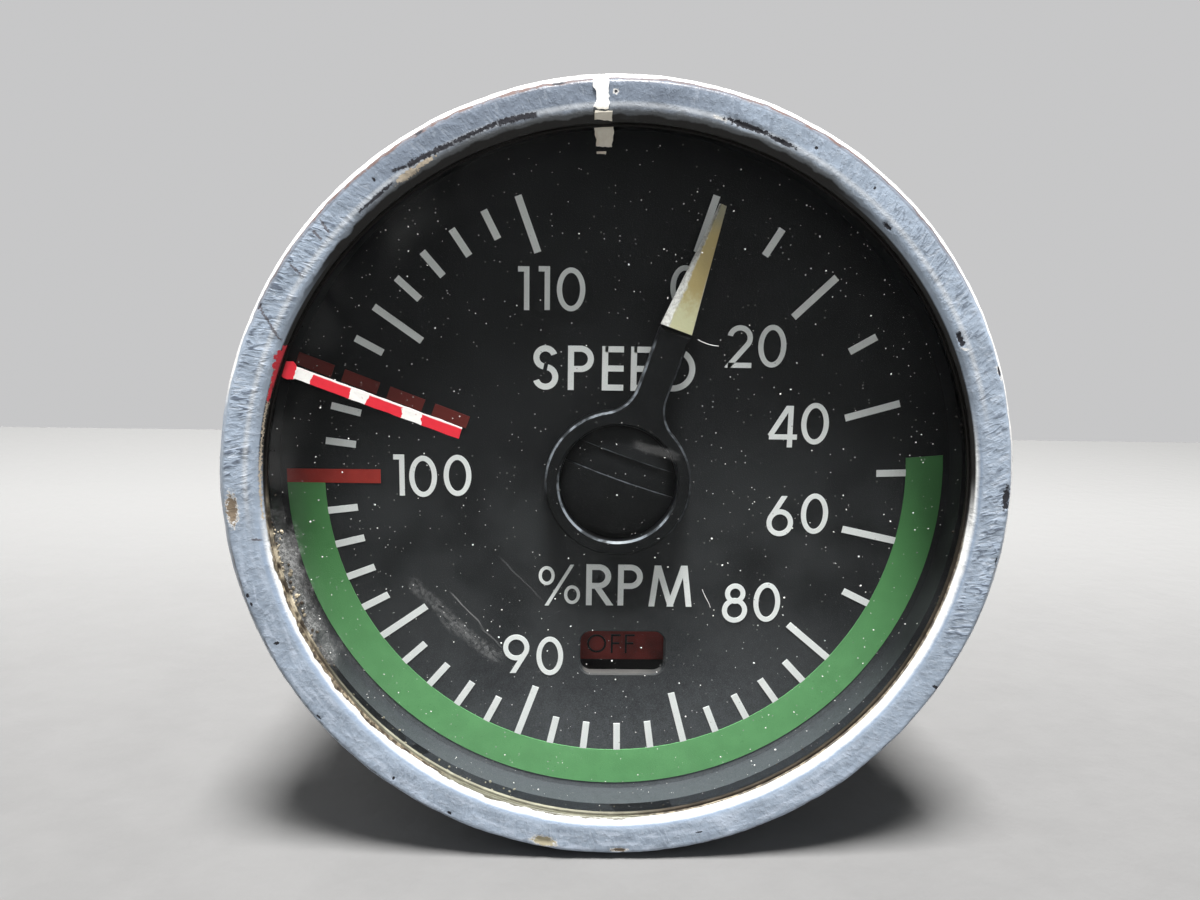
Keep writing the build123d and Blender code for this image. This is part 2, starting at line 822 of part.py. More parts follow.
gear("potentiometer_gear", feedback_teeth, feedback_centre, feedback_gear_y, gear_width,
     spindle_radius + seat_gap / 2, gear_phase(feedback_teeth, feedback_back, True),
     feedback_boss_length)

spindle("idler_shaft", idler_centre, front_plate_y, spindle_radius, gear_plate_rear - front_plate_y)
motor_shaft_y = idler_gear_y - gear_overlap - motor_shaft_nose_length
spindle("motor_shaft", motor_centre, motor_shaft_y, spindle_radius,
        gear_plate_rear + spindle_depth - motor_shaft_y)
feedback_shaft_y = feedback_gear_y - feedback_shaft_nose_length
spindle("potentiometer_shaft", feedback_centre, feedback_shaft_y, spindle_radius,
        gear_plate_rear + spindle_depth - feedback_shaft_y)

# Servo motor: a stepped can with its reduction gearhead in front and a pilot in the gear plate
with BuildPart() as servo_motor:
    with BuildSketch(across(gear_plate_y)):
        with Locations(motor_centre):
            Circle(pilot_radius)
    extrude(amount=-plate_thickness)
    with BuildSketch(across(gear_plate_rear)):
        with Locations(motor_centre):
            Circle(motor_radius)
    extrude(amount=-gearhead_length)
    with BuildSketch(across(gear_plate_rear + gearhead_length)):
        with Locations(motor_centre):
            Circle(motor_radius - motor_step)
    extrude(amount=-(motor_length - gearhead_length))
    chamfer(servo_motor.faces().sort_by(Axis.Y)[-1].edges(), motor_chamfer)
    with BuildSketch(across(gear_plate_y)):
        with Locations(motor_centre):
            Circle(spindle_radius + running_gap)
    extrude(amount=-(plate_thickness + spindle_depth + spindle_end_gap), mode=Mode.SUBTRACT)
    with BuildSketch(across(gear_plate_rear)):
        with Locations(motor_centre):
            with PolarLocations(small_screw_circle_radius, small_screws_each):
                Circle(small_screw_radius + seat_gap)
    extrude(amount=-(small_screw_depth + small_screw_end_gap), mode=Mode.SUBTRACT)
servo_motor.part.label = "servo_motor"
export_step(servo_motor.part, "parts/servo_motor.step")

# Feedback potentiometer: a flat can with a terminal block on its outer side
with BuildPart() as feedback_potentiometer:
    with BuildSketch(across(gear_plate_y)):
        with Locations(feedback_centre):
            Circle(pilot_radius)
    extrude(amount=-plate_thickness)
    with BuildSketch(across(gear_plate_rear)):
        with Locations(feedback_centre):
            Circle(potentiometer_radius)
    extrude(amount=-potentiometer_length)
    chamfer(feedback_potentiometer.faces().sort_by(Axis.Y)[-1].edges(), potentiometer_chamfer)
    with BuildSketch(across(gear_plate_y)):
        with Locations(feedback_centre):
            Circle(spindle_radius + running_gap)
    extrude(amount=-(plate_thickness + spindle_depth + spindle_end_gap), mode=Mode.SUBTRACT)
    with BuildSketch(across(gear_plate_rear)):
        with Locations(feedback_centre):
            with PolarLocations(small_screw_circle_radius, small_screws_each):
                Circle(small_screw_radius + seat_gap)
    extrude(amount=-(small_screw_depth + small_screw_end_gap), mode=Mode.SUBTRACT)
feedback_potentiometer.part.label = "feedback_potentiometer"
export_step(feedback_potentiometer.part, "parts/feedback_potentiometer.step")


def ring_of(centre):
    """Places of the three small screws round a centre."""
    return [
        (centre[0] + x, centre[1] + z)
        for x, z in (
            polar(small_screw_circle_radius, screw * 360.0 / small_screws_each)
            for screw in range(small_screws_each)
        )
    ]


screws("motor_screws", ring_of(motor_centre), gear_plate_y, small_screw_radius, small_head_radius,
       small_head_height, plate_thickness + small_screw_depth)
screws("potentiometer_screws", ring_of(feedback_centre), gear_plate_y, small_screw_radius,
       small_head_radius, thin_head_height, plate_thickness + small_screw_depth)

# Flag shaft and the small rotary magnet that lifts the flag
flag_shaft_y = dial_rear + flag_gap
spindle("flag_shaft", flag_pivot, flag_shaft_y, flag_shaft_radius,
        front_plate_rear + flag_motor_length - flag_motor_floor - flag_shaft_end_gap - flag_shaft_y)
with BuildPart() as flag_motor:
    with BuildSketch(across(front_plate_rear)):
        with Locations(flag_pivot):
            Circle(flag_motor_radius)
    extrude(amount=-flag_motor_length)
    chamfer(flag_motor.faces().sort_by(Axis.Y)[-1].edges(), flag_motor_chamfer)
    with BuildSketch(across(front_plate_rear)):
        with Locations(flag_pivot):
            Circle(flag_shaft_radius + running_gap)
    extrude(amount=-(flag_motor_length - flag_motor_floor), mode=Mode.SUBTRACT)
flag_motor.part.label = "flag_motor"
export_step(flag_motor.part, "parts/flag_motor.step")

# Stacked posts that carry the two circuit boards and reach back to the rear cover
standoffs("front_posts", gear_plate_rear, first_board_y)
standoffs("middle_posts", first_board_y + board_thickness, second_board_y)
standoffs("rear_posts", second_board_y + board_thickness, spigot_front)

# Circuit boards: round, notched for the wiring, threaded on the posts
for label, board_y in (("servo_board", first_board_y), ("power_board", second_board_y)):
    with BuildPart() as board:
        with BuildSketch(across(board_y)):
            Circle(board_radius)
            with Locations(*post_places):
                Circle(stud_radius + seat_gap, mode=Mode.SUBTRACT)
            with Locations((0, board_radius)):
                Rectangle(notch_width, 2 * notch_depth, mode=Mode.SUBTRACT)
        extrude(amount=-board_thickness)
    board.part.label = label
    export_step(board.part, f"parts/{label}.step")

# Parts on the servo board: three amplifier packages in a row and two metal-can transistors
servo_board_rear = first_board_y + board_thickness
with BuildPart() as amplifier_chips:
    with BuildSketch(across(servo_board_rear + chip_standoff_height)):
        with GridLocations(0, chip_pitch, 1, chip_count):
            Rectangle(chip_length, chip_width)
    extrude(amount=-chip_height)
    chamfer(amplifier_chips.faces().group_by(Axis.Y)[-1].edges(), chip_chamfer)
    with BuildSketch(across(servo_board_rear)):
        with GridLocations(0, chip_pitch, 1, chip_count):
            with GridLocations(chip_lead_pitch, chip_width + chip_lead_thickness, chip_leads_per_side, 2):
                Rectangle(chip_lead_width, chip_lead_thickness)
    extrude(amount=-(chip_standoff_height + chip_height / 2))
amplifier_chips.part.label = "amplifier_chips"
export_step(amplifier_chips.part, "parts/amplifier_chips.step")

with BuildPart() as transistor_cans:
    with BuildSketch(across(servo_board_rear)):
        with Locations(*can_places):
            Circle(can_radius)
    extrude(amount=-can_flange_thickness)
    with BuildSketch(across(servo_board_rear + can_flange_thickness)):
        with Locations(*can_places):
            Circle(can_radius - can_flange_thickness)
    extrude(amount=-(can_height - can_flange_thickness))
    fillet(transistor_cans.faces().group_by(Axis.Y)[-1].edges(), package_edge)
transistor_cans.part.label = "transistor_cans"
export_step(transistor_cans.part, "parts/transistor_cans.step")

# Parts on the power board: a transformer and three electrolytic capacitors
power_board_rear = second_board_y + board_thickness
with BuildPart() as transformer:
    with BuildSketch(across(power_board_rear)):
        with Locations((0, transformer_offset)):
            Rectangle(transformer_length, transformer_width)
    extrude(amount=-transformer_height)
    with BuildSketch(across(power_board_rear + core_lift_gap)):
        with Locations((0, transformer_offset)):
            Rectangle(core_length, core_width)
    extrude(amount=-core_height)
    chamfer(transformer.faces().sort_by(Axis.Y)[-1].edges(), package_edge)
transformer.part.label = "transformer"
export_step(transformer.part, "parts/transformer.step")

with BuildPart() as capacitors:
    with BuildSketch(across(power_board_rear)):
        with Locations(*capacitor_places):
            Circle(capacitor_radius)
    extrude(amount=-capacitor_height)
    fillet(capacitors.faces().group_by(Axis.Y)[-1].edges(), package_edge)
capacitors.part.label = "capacitors"
export_step(capacitors.part, "parts/capacitors.step")

# Case: a thin drawn tube with a stepped front collar that carries the dial, the shroud and the glass
with BuildPart() as case:
    with BuildSketch(Plane.XY):
        with BuildLine():
            Polyline(
                (collar_bore, glass_rear),
                (collar_radius, glass_rear),
                (collar_radius, 0),
                (case_radius, 0),
                (case_radius, case_length),
                (case_bore, case_length),
                (case_bore, dial_rear),
                (collar_bore, dial_rear),
                close=True,
            )
        make_face()
    revolve(axis=Axis.Y)
case.part.label = "case"
export_step(case.part, "parts/case.step")

# Rear cover: a plate with a spigot, a groove for the sealing ring and the connector's hole
ring_y = case_length - ring_setback
with BuildPart() as rear_cover:
    with BuildSketch(across(spigot_front)):
        Circle(spigot_radius)
    extrude(amount=-cover_spigot_length)
    with BuildSketch(across(case_length)):
        Circle(case_radius - cover_setback)
    extrude(amount=-cover_thickness)
    chamfer(rear_cover.edges().filter_by(GeomType.CIRCLE).sort_by(Axis.Y)[-1], edge_break)
    with BuildSketch(across(spigot_front)):
        Circle(cover_hole_radius)
    extrude(amount=-(cover_spigot_length + cover_thickness), mode=Mode.SUBTRACT)
    with BuildSketch(across(ring_y + ring_width / 2)):
        Circle(case_radius)
        Circle(case_bore - ring_width, mode=Mode.SUBTRACT)
    extrude(amount=ring_width, mode=Mode.SUBTRACT)
    with BuildSketch(across(spigot_front)):
        with Locations(*post_places):
            Circle(stud_radius + bore_gap)
        with GridLocations(flange_screw_pitch, flange_screw_pitch, 2, 2):
            Circle(small_screw_radius + seat_gap)
    extrude(amount=-(cover_spigot_length + cover_thickness), mode=Mode.SUBTRACT)
rear_cover.part.label = "rear_cover"
export_step(rear_cover.part, "parts/rear_cover.step")

with BuildPart() as cover_seal:
    with BuildSketch(Plane.XY):
        with Locations((case_bore - ring_width / 2, ring_y)):
            Circle(ring_width / 2)
    revolve(axis=Axis.Y)
cover_seal.part.label = "cover_seal"
export_step(cover_seal.part, "parts/cover_seal.step")

screws("cover_screws", post_places, cover_rear, stud_radius, head_radius, head_height,
       cover_screw_length, towards=-1)

# Connector: a flanged shell with three coupling lugs, on a gasket, with an insulator and pins
with BuildPart() as connector_gasket:
    with BuildSketch(across(cover_rear)):
        RectangleRounded(shell_flange_width, shell_flange_width, shell_corner_radius)
        Circle(shell_radius + seat_gap, mode=Mode.SUBTRACT)
        with GridLocations(flange_screw_pitch, flange_screw_pitch, 2, 2):
            Circle(small_screw_radius + seat_gap, mode=Mode.SUBTRACT)
    extrude(amount=-gasket_thickness)
connector_gasket.part.label = "connector_gasket"
export_step(connector_gasket.part, "parts/connector_gasket.step")

with BuildPart() as connector_shell:
    with BuildSketch(across(cover_rear - shell_tail_length)):
        Circle(shell_radius)
    extrude(amount=-(shell_end - cover_rear + shell_tail_length))
    with BuildSketch(across(gasket_rear)):
        RectangleRounded(shell_flange_width, shell_flange_width, shell_corner_radius)
    extrude(amount=-shell_flange_thickness)
    with BuildSketch(across(shell_end - lug_setback)):
        with PolarLocations(0, lug_count, start_angle=90):
            with Locations((shell_radius + lug_height / 2, 0)):
                Rectangle(lug_height + 2 * lug_root_depth, 2 * lug_radius)
    extrude(amount=2 * lug_radius)
    with BuildSketch(across(cover_rear - shell_tail_length)):
        Circle(shell_radius - shell_wall)
    extrude(amount=-(shell_end - cover_rear + shell_tail_length), mode=Mode.SUBTRACT)
    with BuildSketch(across(gasket_rear)):
        with GridLocations(flange_screw_pitch, flange_screw_pitch, 2, 2):
            Circle(small_screw_radius + seat_gap)
    extrude(amount=-shell_flange_thickness, mode=Mode.SUBTRACT)
connector_shell.part.label = "connector_shell"
export_step(connector_shell.part, "parts/connector_shell.step")

pin_places = [polar(pin_circle_radius, pin * 360.0 / outer_pins) for pin in range(outer_pins)]
pin_places += [
    polar(inner_pin_circle_radius, 90.0 + pin * 360.0 / inner_pins) for pin in range(inner_pins)
]
with BuildPart() as connector_insert:
    with BuildSketch(across(insert_face - insert_length)):
        Circle(shell_radius - shell_wall - seat_gap)
        with Locations(*pin_places):
            Circle(pin_radius + seat_gap, mode=Mode.SUBTRACT)
    extrude(amount=-insert_length)
connector_insert.part.label = "connector_insert"
export_step(connector_insert.part, "parts/connector_insert.step")

with BuildPart() as connector_pins:
    with BuildSketch(across(insert_face - insert_length - pin_tail_length)):
        with Locations(*pin_places):
            Circle(pin_radius)
    extrude(amount=-(pin_tail_length + insert_length + pin_reach_length))
    chamfer(connector_pins.faces().group_by(Axis.Y)[-1].edges(), pin_radius / 2)
connector_pins.part.label = "connector_pins"
export_step(connector_pins.part, "parts/connector_pins.step")

flange_places = [
    (x * flange_screw_pitch / 2, z * flange_screw_pitch / 2) for x in (-1, 1) for z in (-1, 1)
]
screws("connector_screws", flange_places, flange_rear, small_screw_radius, small_head_radius,
       small_head_height, flange_rear - cover_rear + flange_screw_depth, towards=-1)

# Limit stripe: a narrow strip of tape on the glass
with BuildPart() as limit_stripe:
    with BuildSketch(across(glass_front)):
        with Locations(dial_place(stripe_angle, seal_radius - stripe_end_gap)):
            Rectangle(stripe_length, stripe_width, align=(Align.MAX, Align.CENTER))
    extrude(amount=print_thickness)
limit_stripe.part.label = "limit_stripe"
export_step(limit_stripe.part, "parts/limit_stripe.step")

# Index mark: a dab of white paint on the glass and one on the bezel, to show if the bezel has turned
glass_reach = seal_radius - seat_gap
with BuildPart() as index_mark:
    with BuildSketch(across(glass_front)):
        with Locations((index_x, glass_reach - index_glass_length)):
            Rectangle(index_width, glass_reach, align=(Align.CENTER, Align.MIN))
        Circle(glass_reach, mode=Mode.INTERSECT)
    extrude(amount=print_thickness)
    with BuildSketch(across(bezel_front)):
        with Locations((index_x, lip_radius + lip_bevel_width + index_lip_gap)):
            Rectangle(index_bezel_width, bezel_radius, align=(Align.CENTER, Align.MIN))
        Circle(bezel_radius - bezel_edge_width - index_edge_gap, mode=Mode.INTERSECT)
    extrude(amount=print_thickness)
index_mark.part.label = "index_mark"
export_step(index_mark.part, "parts/index_mark.step")
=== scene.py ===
# %% [markdown]
# # A worn core speed indicator
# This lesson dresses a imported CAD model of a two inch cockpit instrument: a blue-grey bezel with chipped
# paint, a dusty glass, a black dial with white printing and a black pointer with an ivory tip. The CAD
# already has every part at its real size, so the model is loaded first and never moved. What is added
# here is what a draughtsman leaves to the painter: lettering, paint, wear, dust, light and a camera.

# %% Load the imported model
import json
import math
import random

import bpy
from mathutils import Matrix, Vector
from mathutils import noise as cloud_noise


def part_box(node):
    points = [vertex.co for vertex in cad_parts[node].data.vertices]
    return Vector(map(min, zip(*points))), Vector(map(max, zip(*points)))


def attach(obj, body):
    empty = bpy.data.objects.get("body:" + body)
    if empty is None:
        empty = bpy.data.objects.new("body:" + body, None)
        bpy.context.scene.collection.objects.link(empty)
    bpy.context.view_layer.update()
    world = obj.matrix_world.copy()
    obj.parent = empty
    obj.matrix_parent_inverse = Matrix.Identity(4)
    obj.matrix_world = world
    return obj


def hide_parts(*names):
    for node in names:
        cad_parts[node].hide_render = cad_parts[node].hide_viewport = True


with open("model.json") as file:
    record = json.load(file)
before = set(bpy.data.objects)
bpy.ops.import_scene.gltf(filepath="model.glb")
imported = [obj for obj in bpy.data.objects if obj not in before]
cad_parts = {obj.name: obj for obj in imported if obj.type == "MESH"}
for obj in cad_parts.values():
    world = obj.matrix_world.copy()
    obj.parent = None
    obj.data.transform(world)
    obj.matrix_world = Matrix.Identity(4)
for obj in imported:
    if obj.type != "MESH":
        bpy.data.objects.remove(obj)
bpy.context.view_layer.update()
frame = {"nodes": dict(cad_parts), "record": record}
MM = 0.001

# %% [markdown]
# The CAD nodes arrive selected, and an operator acts on all that is selected, so everything is deselected
# before anything is made. Places are then read from the CAD boxes instead of being typed twice: the
# instrument looks towards -Y, so the front of a part is the lowest Y of its box.

# %% Places read from the model
def front_of(node):
    """The frontmost place of a CAD node, along Y."""
    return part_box(node)[0].y


bpy.ops.object.select_all(action="DESELECT")
dial_y = front_of("dial_plate")
glass_y = front_of("front_glass")
bezel_y = front_of("bezel")
flag_y = front_of("off_flag")
bezel_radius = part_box("bezel")[1].x
floor_z = -bezel_radius
print("dial, glass and bezel fronts in mm:", [round(y / MM, 2) for y in (dial_y, glass_y, bezel_y)])

# %% [markdown]
# ## A maker of finishes
# A painted, printed or plated surface is a small tree of shader nodes. Wiring each one by hand takes many
# lines, so three little classes do it. A Tree adds a node with its inputs in one call, and a Finish is the
# tree of one material. A Value is what a node hands on, and arithmetic with it adds Math nodes: the product
# of two masks is where both are, and the sign | takes the greater of two. All patterns read Object
# coordinates, in metres: each part sits at the origin, so a grain of half a millimetre is half a
# millimetre everywhere on it.

# %% Values, trees and finishes
def sign(operation):
    """An arithmetic sign for values, which adds a Math node."""
    def calculate(value, other=0.0):
        return value.owner.math(operation, value, other)
    return calculate


class Value:
    """What a node hands on: a number, a mask or a colour. Its owner is the tree that the node is in."""

    def __init__(self, owner, socket):
        self.owner, self.socket = owner, socket

    __add__, __sub__, __mul__, __truediv__ = sign("ADD"), sign("SUBTRACT"), sign("MULTIPLY"), sign("DIVIDE")
    __or__, __abs__ = sign("MAXIMUM"), sign("ABSOLUTE")

    def ramp(self, low, high, bottom=0.0, top=1.0, curve="SMOOTHSTEP"):
        """A smooth step from one value to another."""
        inputs = {"Value": self, "From Min": low, "From Max": high, "To Min": bottom, "To Max": top}
        return self.owner.add("ShaderNodeMapRange", inputs, interpolation_type=curve)

    def within(self, start, end, soft=3.0):
        """A mask that is 1 between two values, such as two angles, with soft ends."""
        return self.ramp(start - soft, start + soft) * self.ramp(end + soft, end - soft)

    def under(self, *coats):
        """This colour with others laid over it in turn, each a tone where its mask is 1."""
        colour = self
        for mask, tone in coats:
            colour = self.owner.mix(mask, colour, tone)
        return colour


def greatest(masks):
    """The greatest of several masks."""
    result, *others = masks
    for mask in others:
        result = result | mask
    return result


def beside(dx, dz, run):
    """How far along a straight run a point is, how far to its side, and how long the run is."""
    length, run = run.length, run.normalized()
    return dx * run.x + dz * run.y, dx * run.y - dz * run.x, length


class Tree:
    """The empty node tree of a material or a world, to which nodes are added by name."""

    def __init__(self, owner):
        owner.use_nodes = True
        self.tree = owner.node_tree
        self.tree.nodes.clear()

    def wire(self, value, socket):
        """Links what a node hands on, or writes a plain value. A colour is given by three numbers."""
        if isinstance(value, Value):
            self.tree.links.new(value.socket, socket)
        elif socket.type == "RGBA":
            socket.default_value = (*value, 1)
        else:
            socket.default_value = value

    def add(self, kind, inputs, output=0, **settings):
        """Adds one node and returns one of its outputs, or several where a tuple asks for them."""
        node = self.tree.nodes.new(kind)
        for key, value in settings.items():
            setattr(node, key, value)
        for key, value in inputs.items():
            self.wire(value, node.inputs[key])
        if isinstance(output, tuple):
            return [Value(self, node.outputs[each]) for each in output]
        return Value(self, node.outputs[output])

    def end(self, kind, value):
        """Adds the output node, which shows what it is given."""
        self.shown = self.tree.nodes.new(kind).inputs[0]
        self.wire(value, self.shown)

    def math(self, operation, a, b=0.0, c=0.0):
        return self.add("ShaderNodeMath", {0: a, 1: b, 2: c}, operation=operation)


class Finish(Tree):
    """One material: a Principled shader, and nodes that are added to it."""

    def __init__(self, name, roughness, metallic=0.0, shine=0.5):
        self.material = bpy.data.materials.new(name)
        super().__init__(self.material)
        self.surface = self.add("ShaderNodeBsdfPrincipled", {})
        self.end("ShaderNodeOutputMaterial", self.surface)
        self.set("Roughness", roughness)
        self.set("Metallic", metallic)
        self.set("Specular IOR Level", shine)
        self.place = self.add("ShaderNodeTexCoord", {}, output="Object")
        self.across, self.deep, self.up = self.axes(self.place)

    def set(self, name, value):
        """Sets an input of the Principled shader."""
        self.wire(value, self.surface.socket.node.inputs[name])

    def dress(self, colour):
        """Gives the shader its colour, and keeps it for another coat."""
        self.colour = colour
        self.set("Base Color", colour)

    def axes(self, vector):
        return self.add("ShaderNodeSeparateXYZ", {0: vector}, output=(0, 1, 2))

    def facing(self):
        """The direction that the surface faces, as three numbers."""
        return self.axes(self.add("ShaderNodeTexCoord", {}, output="Normal"))

    def length(self, x, z):
        return self.math("SQRT", x * x + z * z)

    def noise(self, size, detail=2.0, where=None, rough=0.5, warp=0.0):
        """Cloudy noise whose blobs are about so many millimetres wide."""
        inputs = {"Vector": where or self.place, "Scale": 1 / (size * MM), "Detail": detail,
                  "Roughness": rough, "Distortion": warp}
        return self.add("ShaderNodeTexNoise", inputs)

    def specks(self, size, share):
        """Small round specks, one in some of the cells of a Voronoi pattern."""
        inputs = {"Vector": self.place, "Scale": 1 / (size * MM)}
        distance, tone = self.add("ShaderNodeTexVoronoi", inputs, output=("Distance", "Color"))
        chosen = self.math("LESS_THAN", self.add("ShaderNodeSeparateColor", {0: tone}), share)
        return distance.ramp(0.16, 0.1) * chosen

    def mix(self, mask, first, second):
        """One colour where the mask is 0 and another where it is 1."""
        return self.add("ShaderNodeMix", {0: mask, 6: first, 7: second}, output=2, data_type="RGBA")

    def shade(self, colour, amount, size, detail=3.0):
        """A colour that is darker and lighter by a share, in clouds."""
        darker = [c * (1 - amount) for c in colour]
        lighter = [min(1, c * (1 + amount)) for c in colour]
        return self.mix(self.noise(size, detail).ramp(0.3, 0.7), darker, lighter)

    def stretch(self, x, y, z):
        """Object coordinates scaled by axis, to draw a grain out along the others."""
        return self.add("ShaderNodeMapping", {"Vector": self.place, "Scale": (x, y, z)})

    def bump(self, height, depth):
        """Turns a height of 0 to 1 into a bump so many millimetres deep."""
        inputs = {"Height": height, "Distance": depth * MM, "Strength": 1.0}
        self.set("Normal", self.add("ShaderNodeBump", inputs))

    def grain(self, size, depth, detail=2.0):
        """Roughens the surface with cloudy noise of one size."""
        self.bump(self.noise(size, detail), depth)

    def flat(self):
        """How far a point is to the right of the dial's centre and above it, in millimetres."""
        return self.across * (1 / MM), self.up * (1 / MM)

    def polar(self):
        """The angle round the dial, clockwise from the top in degrees, and the distance from its centre."""
        angle = self.math("ARCTAN2", self.across, self.up) * (180 / math.pi)
        return self.math("WRAP", angle, 360.0, 0.0), self.length(self.across, self.up) / MM


# %% [markdown]
# ## Paints and prints on the front
# The dial is sprayed a matt black, and the marks are screen printed on it in a thin hard ink. Old ink is
# never quite even, so each print gets clouds of a slightly different tone, a few tiny pinholes and a
# faint grain in its surface. The black of the dial, and of the ring that holds the glass off it, has pale
# flecks of dust and grows lighter in clumps towards the bottom. On the dial, faces that look up near the
# middle carry a painted highlight.

# %% Printed inks and the dial
def ink(name, colour, amount):
    """A thin printed layer: cloudy colour, a fine grain and a few dull spots."""
    finish = Finish(name, 0.55, shine=0.2)
    clouds = finish.shade(colour, amount, 1.6)
    holes = finish.noise(0.16, 1.0).ramp(0.68, 0.76)
    finish.dress(clouds.under((holes * 0.5, [c * 0.72 for c in colour])))
    finish.grain(0.12, 0.006)
    return finish


white_print = ink("white dial ink", (0.86, 0.86, 0.85), 0.03)
green_print = ink("green band ink", (0.165, 0.43, 0.175), 0.06)
red_print = ink("dark red ink", (0.36, 0.036, 0.028), 0.12)
flag_red = ink("red flag paint", (0.135, 0.013, 0.010), 0.3)

# The green is painted darker towards its upper ends, a painted shade that deepens the shadow of the
# bezel's lip there. The transient limit's dashes are a darker red than the line at a hundred.
upper_band_shade = green_print.up.ramp(-19 * MM, -2 * MM)
green_print.dress(green_print.colour.under((upper_band_shade, (0.093, 0.28, 0.096))))
dashes = red_print.polar()[0].within(283, 300, 1.0)
red_print.dress(red_print.colour.under((dashes, (0.15, 0.024, 0.020))))


def dusty_black(name, roughness, grain, lower_tone, rim_tone):
    """Black paint with pale flecks of dust, lighter in clumps towards the bottom and round the rim low down,
    with a painted highlight on faces that look up near the middle.
    """
    finish = Finish(name, roughness, shine=0.15)
    radius = finish.polar()[1]
    low = finish.up.ramp(3 * MM, -24 * MM)
    clumps = (finish.noise(0.5, 4.0).ramp(0.25, 0.7, 0.7, 1.0)
              * finish.noise(0.13, 3.0, rough=0.7).ramp(0.3, 0.7, 0.6, 1.25))
    haze = finish.up.ramp(6 * MM, -4 * MM) * finish.noise(7.0, 3.0).ramp(0.3, 0.6)
    rim = radius.ramp(22.0, 22.7) * finish.up.ramp(-9 * MM, -23 * MM) * clumps
    # Faces that look up near the middle, such as the window's lower edge, are painted pale: a painted
    # highlight.
    upward_face_highlight = finish.facing()[2].ramp(0.5, 0.9) * radius.ramp(15.5, 15.0)
    flecks = finish.specks(0.5, 0.16) * 0.5 | finish.specks(0.24, 0.3) * low * 0.5
    finish.dress(finish.shade((0.0115, 0.0118, 0.013), 0.18, 5.0).under(
        (haze, (0.031, 0.032, 0.034)), (low * low * low * clumps, lower_tone), (rim, rim_tone),
        (upward_face_highlight, (0.15, 0.14, 0.135)), (flecks, (0.17, 0.17, 0.16))))
    finish.grain(grain, 0.008)
    return finish


dial_black = dusty_black("matt dial black", 0.62, 0.09, (0.105, 0.110, 0.119), (0.17, 0.18, 0.195))
shroud_black = dusty_black("dusty black paint", 0.6, 0.2, (0.05, 0.054, 0.06), (0.07, 0.076, 0.084))
print("inks:", white_print.material.name, green_print.material.name, red_print.material.name)

# %% [markdown]
# The pointer and its cap are sprayed a harder black with a soft sheen. The paint has a faint orange peel
# and a little lint in it. Pale lines along the pointer's edges are worn paint and painted highlight,
# strongest on the lower rim of the recess and the pointer's left side, which face up; the two pale lines
# along the edges of the slot are painted highlights. The tip is an ivory paint that has yellowed in
# clouds; its left facet and a fringe at its right edge are paler, and it is darker near its end.

# %% Black paint and ivory
POINTER_ANGLE = math.radians(19.3)


def pointer_axes(finish):
    """Two distances in millimetres: along the pointer from the dial's centre, and to its right."""
    x, z = finish.flat()
    sine, cosine = math.sin(POINTER_ANGLE), math.cos(POINTER_ANGLE)
    return x * sine + z * cosine, x * cosine - z * sine


def satin_black(name, pale_edge_mask=None):
    """Satin black paint with lint in it; where the mask is 1, it is painted pale in patches, for worn paint
    and painted highlights.
    """
    finish = Finish(name, 0.3, shine=0.1)
    lint = finish.noise(0.14, 2.0).ramp(0.66, 0.76)
    colour = finish.shade((0.008, 0.0083, 0.009), 0.2, 2.4).under((lint * 0.25, (0.12, 0.12, 0.115)))
    if pale_edge_mask:
        patchy = finish.noise(0.7, 4.0).ramp(0.36, 0.6, 0.15, 1.0)
        colour = colour.under((pale_edge_mask(finish) * patchy, (0.20, 0.215, 0.24)))
    finish.dress(colour)
    finish.grain(0.35, 0.012)
    return finish


def chamfers(finish):
    """Faces that are neither flat to the reader nor upright walls, painted pale: worn paint, and a painted
    highlight strongest on the lower rim of the recess and the left side, which face up.
    """
    facing = finish.facing()[1]
    edges = facing.ramp(-0.95, -0.85) * facing.ramp(-0.3, -0.5)
    along, side = pointer_axes(finish)
    radius = finish.polar()[1]
    rim = radius.ramp(4.8, 4.6) * along.ramp(0.5, -2.0)
    outline = radius.ramp(4.6, 4.8) * along.ramp(-2.8, 0.0) * along.ramp(10.6, 9.6)
    return edges * (rim | outline * side.ramp(1.0, -1.0, 0.45, 1.0))


def slot_highlights(finish):
    """Two painted highlights along the edges of the slot in the cap."""
    along, side = pointer_axes(finish)
    lines = greatest([abs(along - place).ramp(0.06, 0.02) for place in (0.3, 2.0)])
    return lines * abs(side).ramp(3.9, 3.0) * 0.35


black_paint = satin_black("satin black paint")
pointer_black = satin_black("rubbed pointer black", chamfers)
cap_black = satin_black("cap black", slot_highlights)

TIP_START = 11.5
ivory = Finish("yellowed ivory paint", 0.45)
along, side = pointer_axes(ivory)
mottle = ivory.noise(0.4, 4.0, rough=0.6) - 0.5
# Along the tip the paint yellows in clouds and is mixed darker near its end. Its left facet and a fringe at
# its right edge are mixed paler.
yellow = ivory.mix((along + mottle * 3.0).ramp(12.3, 14.8), (0.72, 0.69, 0.43), (0.55, 0.42, 0.18))
yellow = yellow.under((along.ramp(18.2, 19.9), (0.36, 0.33, 0.22)))
ridge = side - (along - TIP_START) * 0.045 + mottle * 0.5
right_edge = side + (along - TIP_START) * 0.12
fringe = right_edge.ramp(1.12, 1.24) * along.ramp(16.5, 14.0) * 0.8
paler_tone = ivory.mix(ivory.noise(0.25, 4.0, rough=0.7).ramp(0.4, 0.62), (0.86, 0.84, 0.80), (0.58, 0.55, 0.52))
ivory.dress(yellow.under((ridge.ramp(-0.48, -0.68) | fringe, paler_tone)))
ivory.grain(0.5, 0.02)

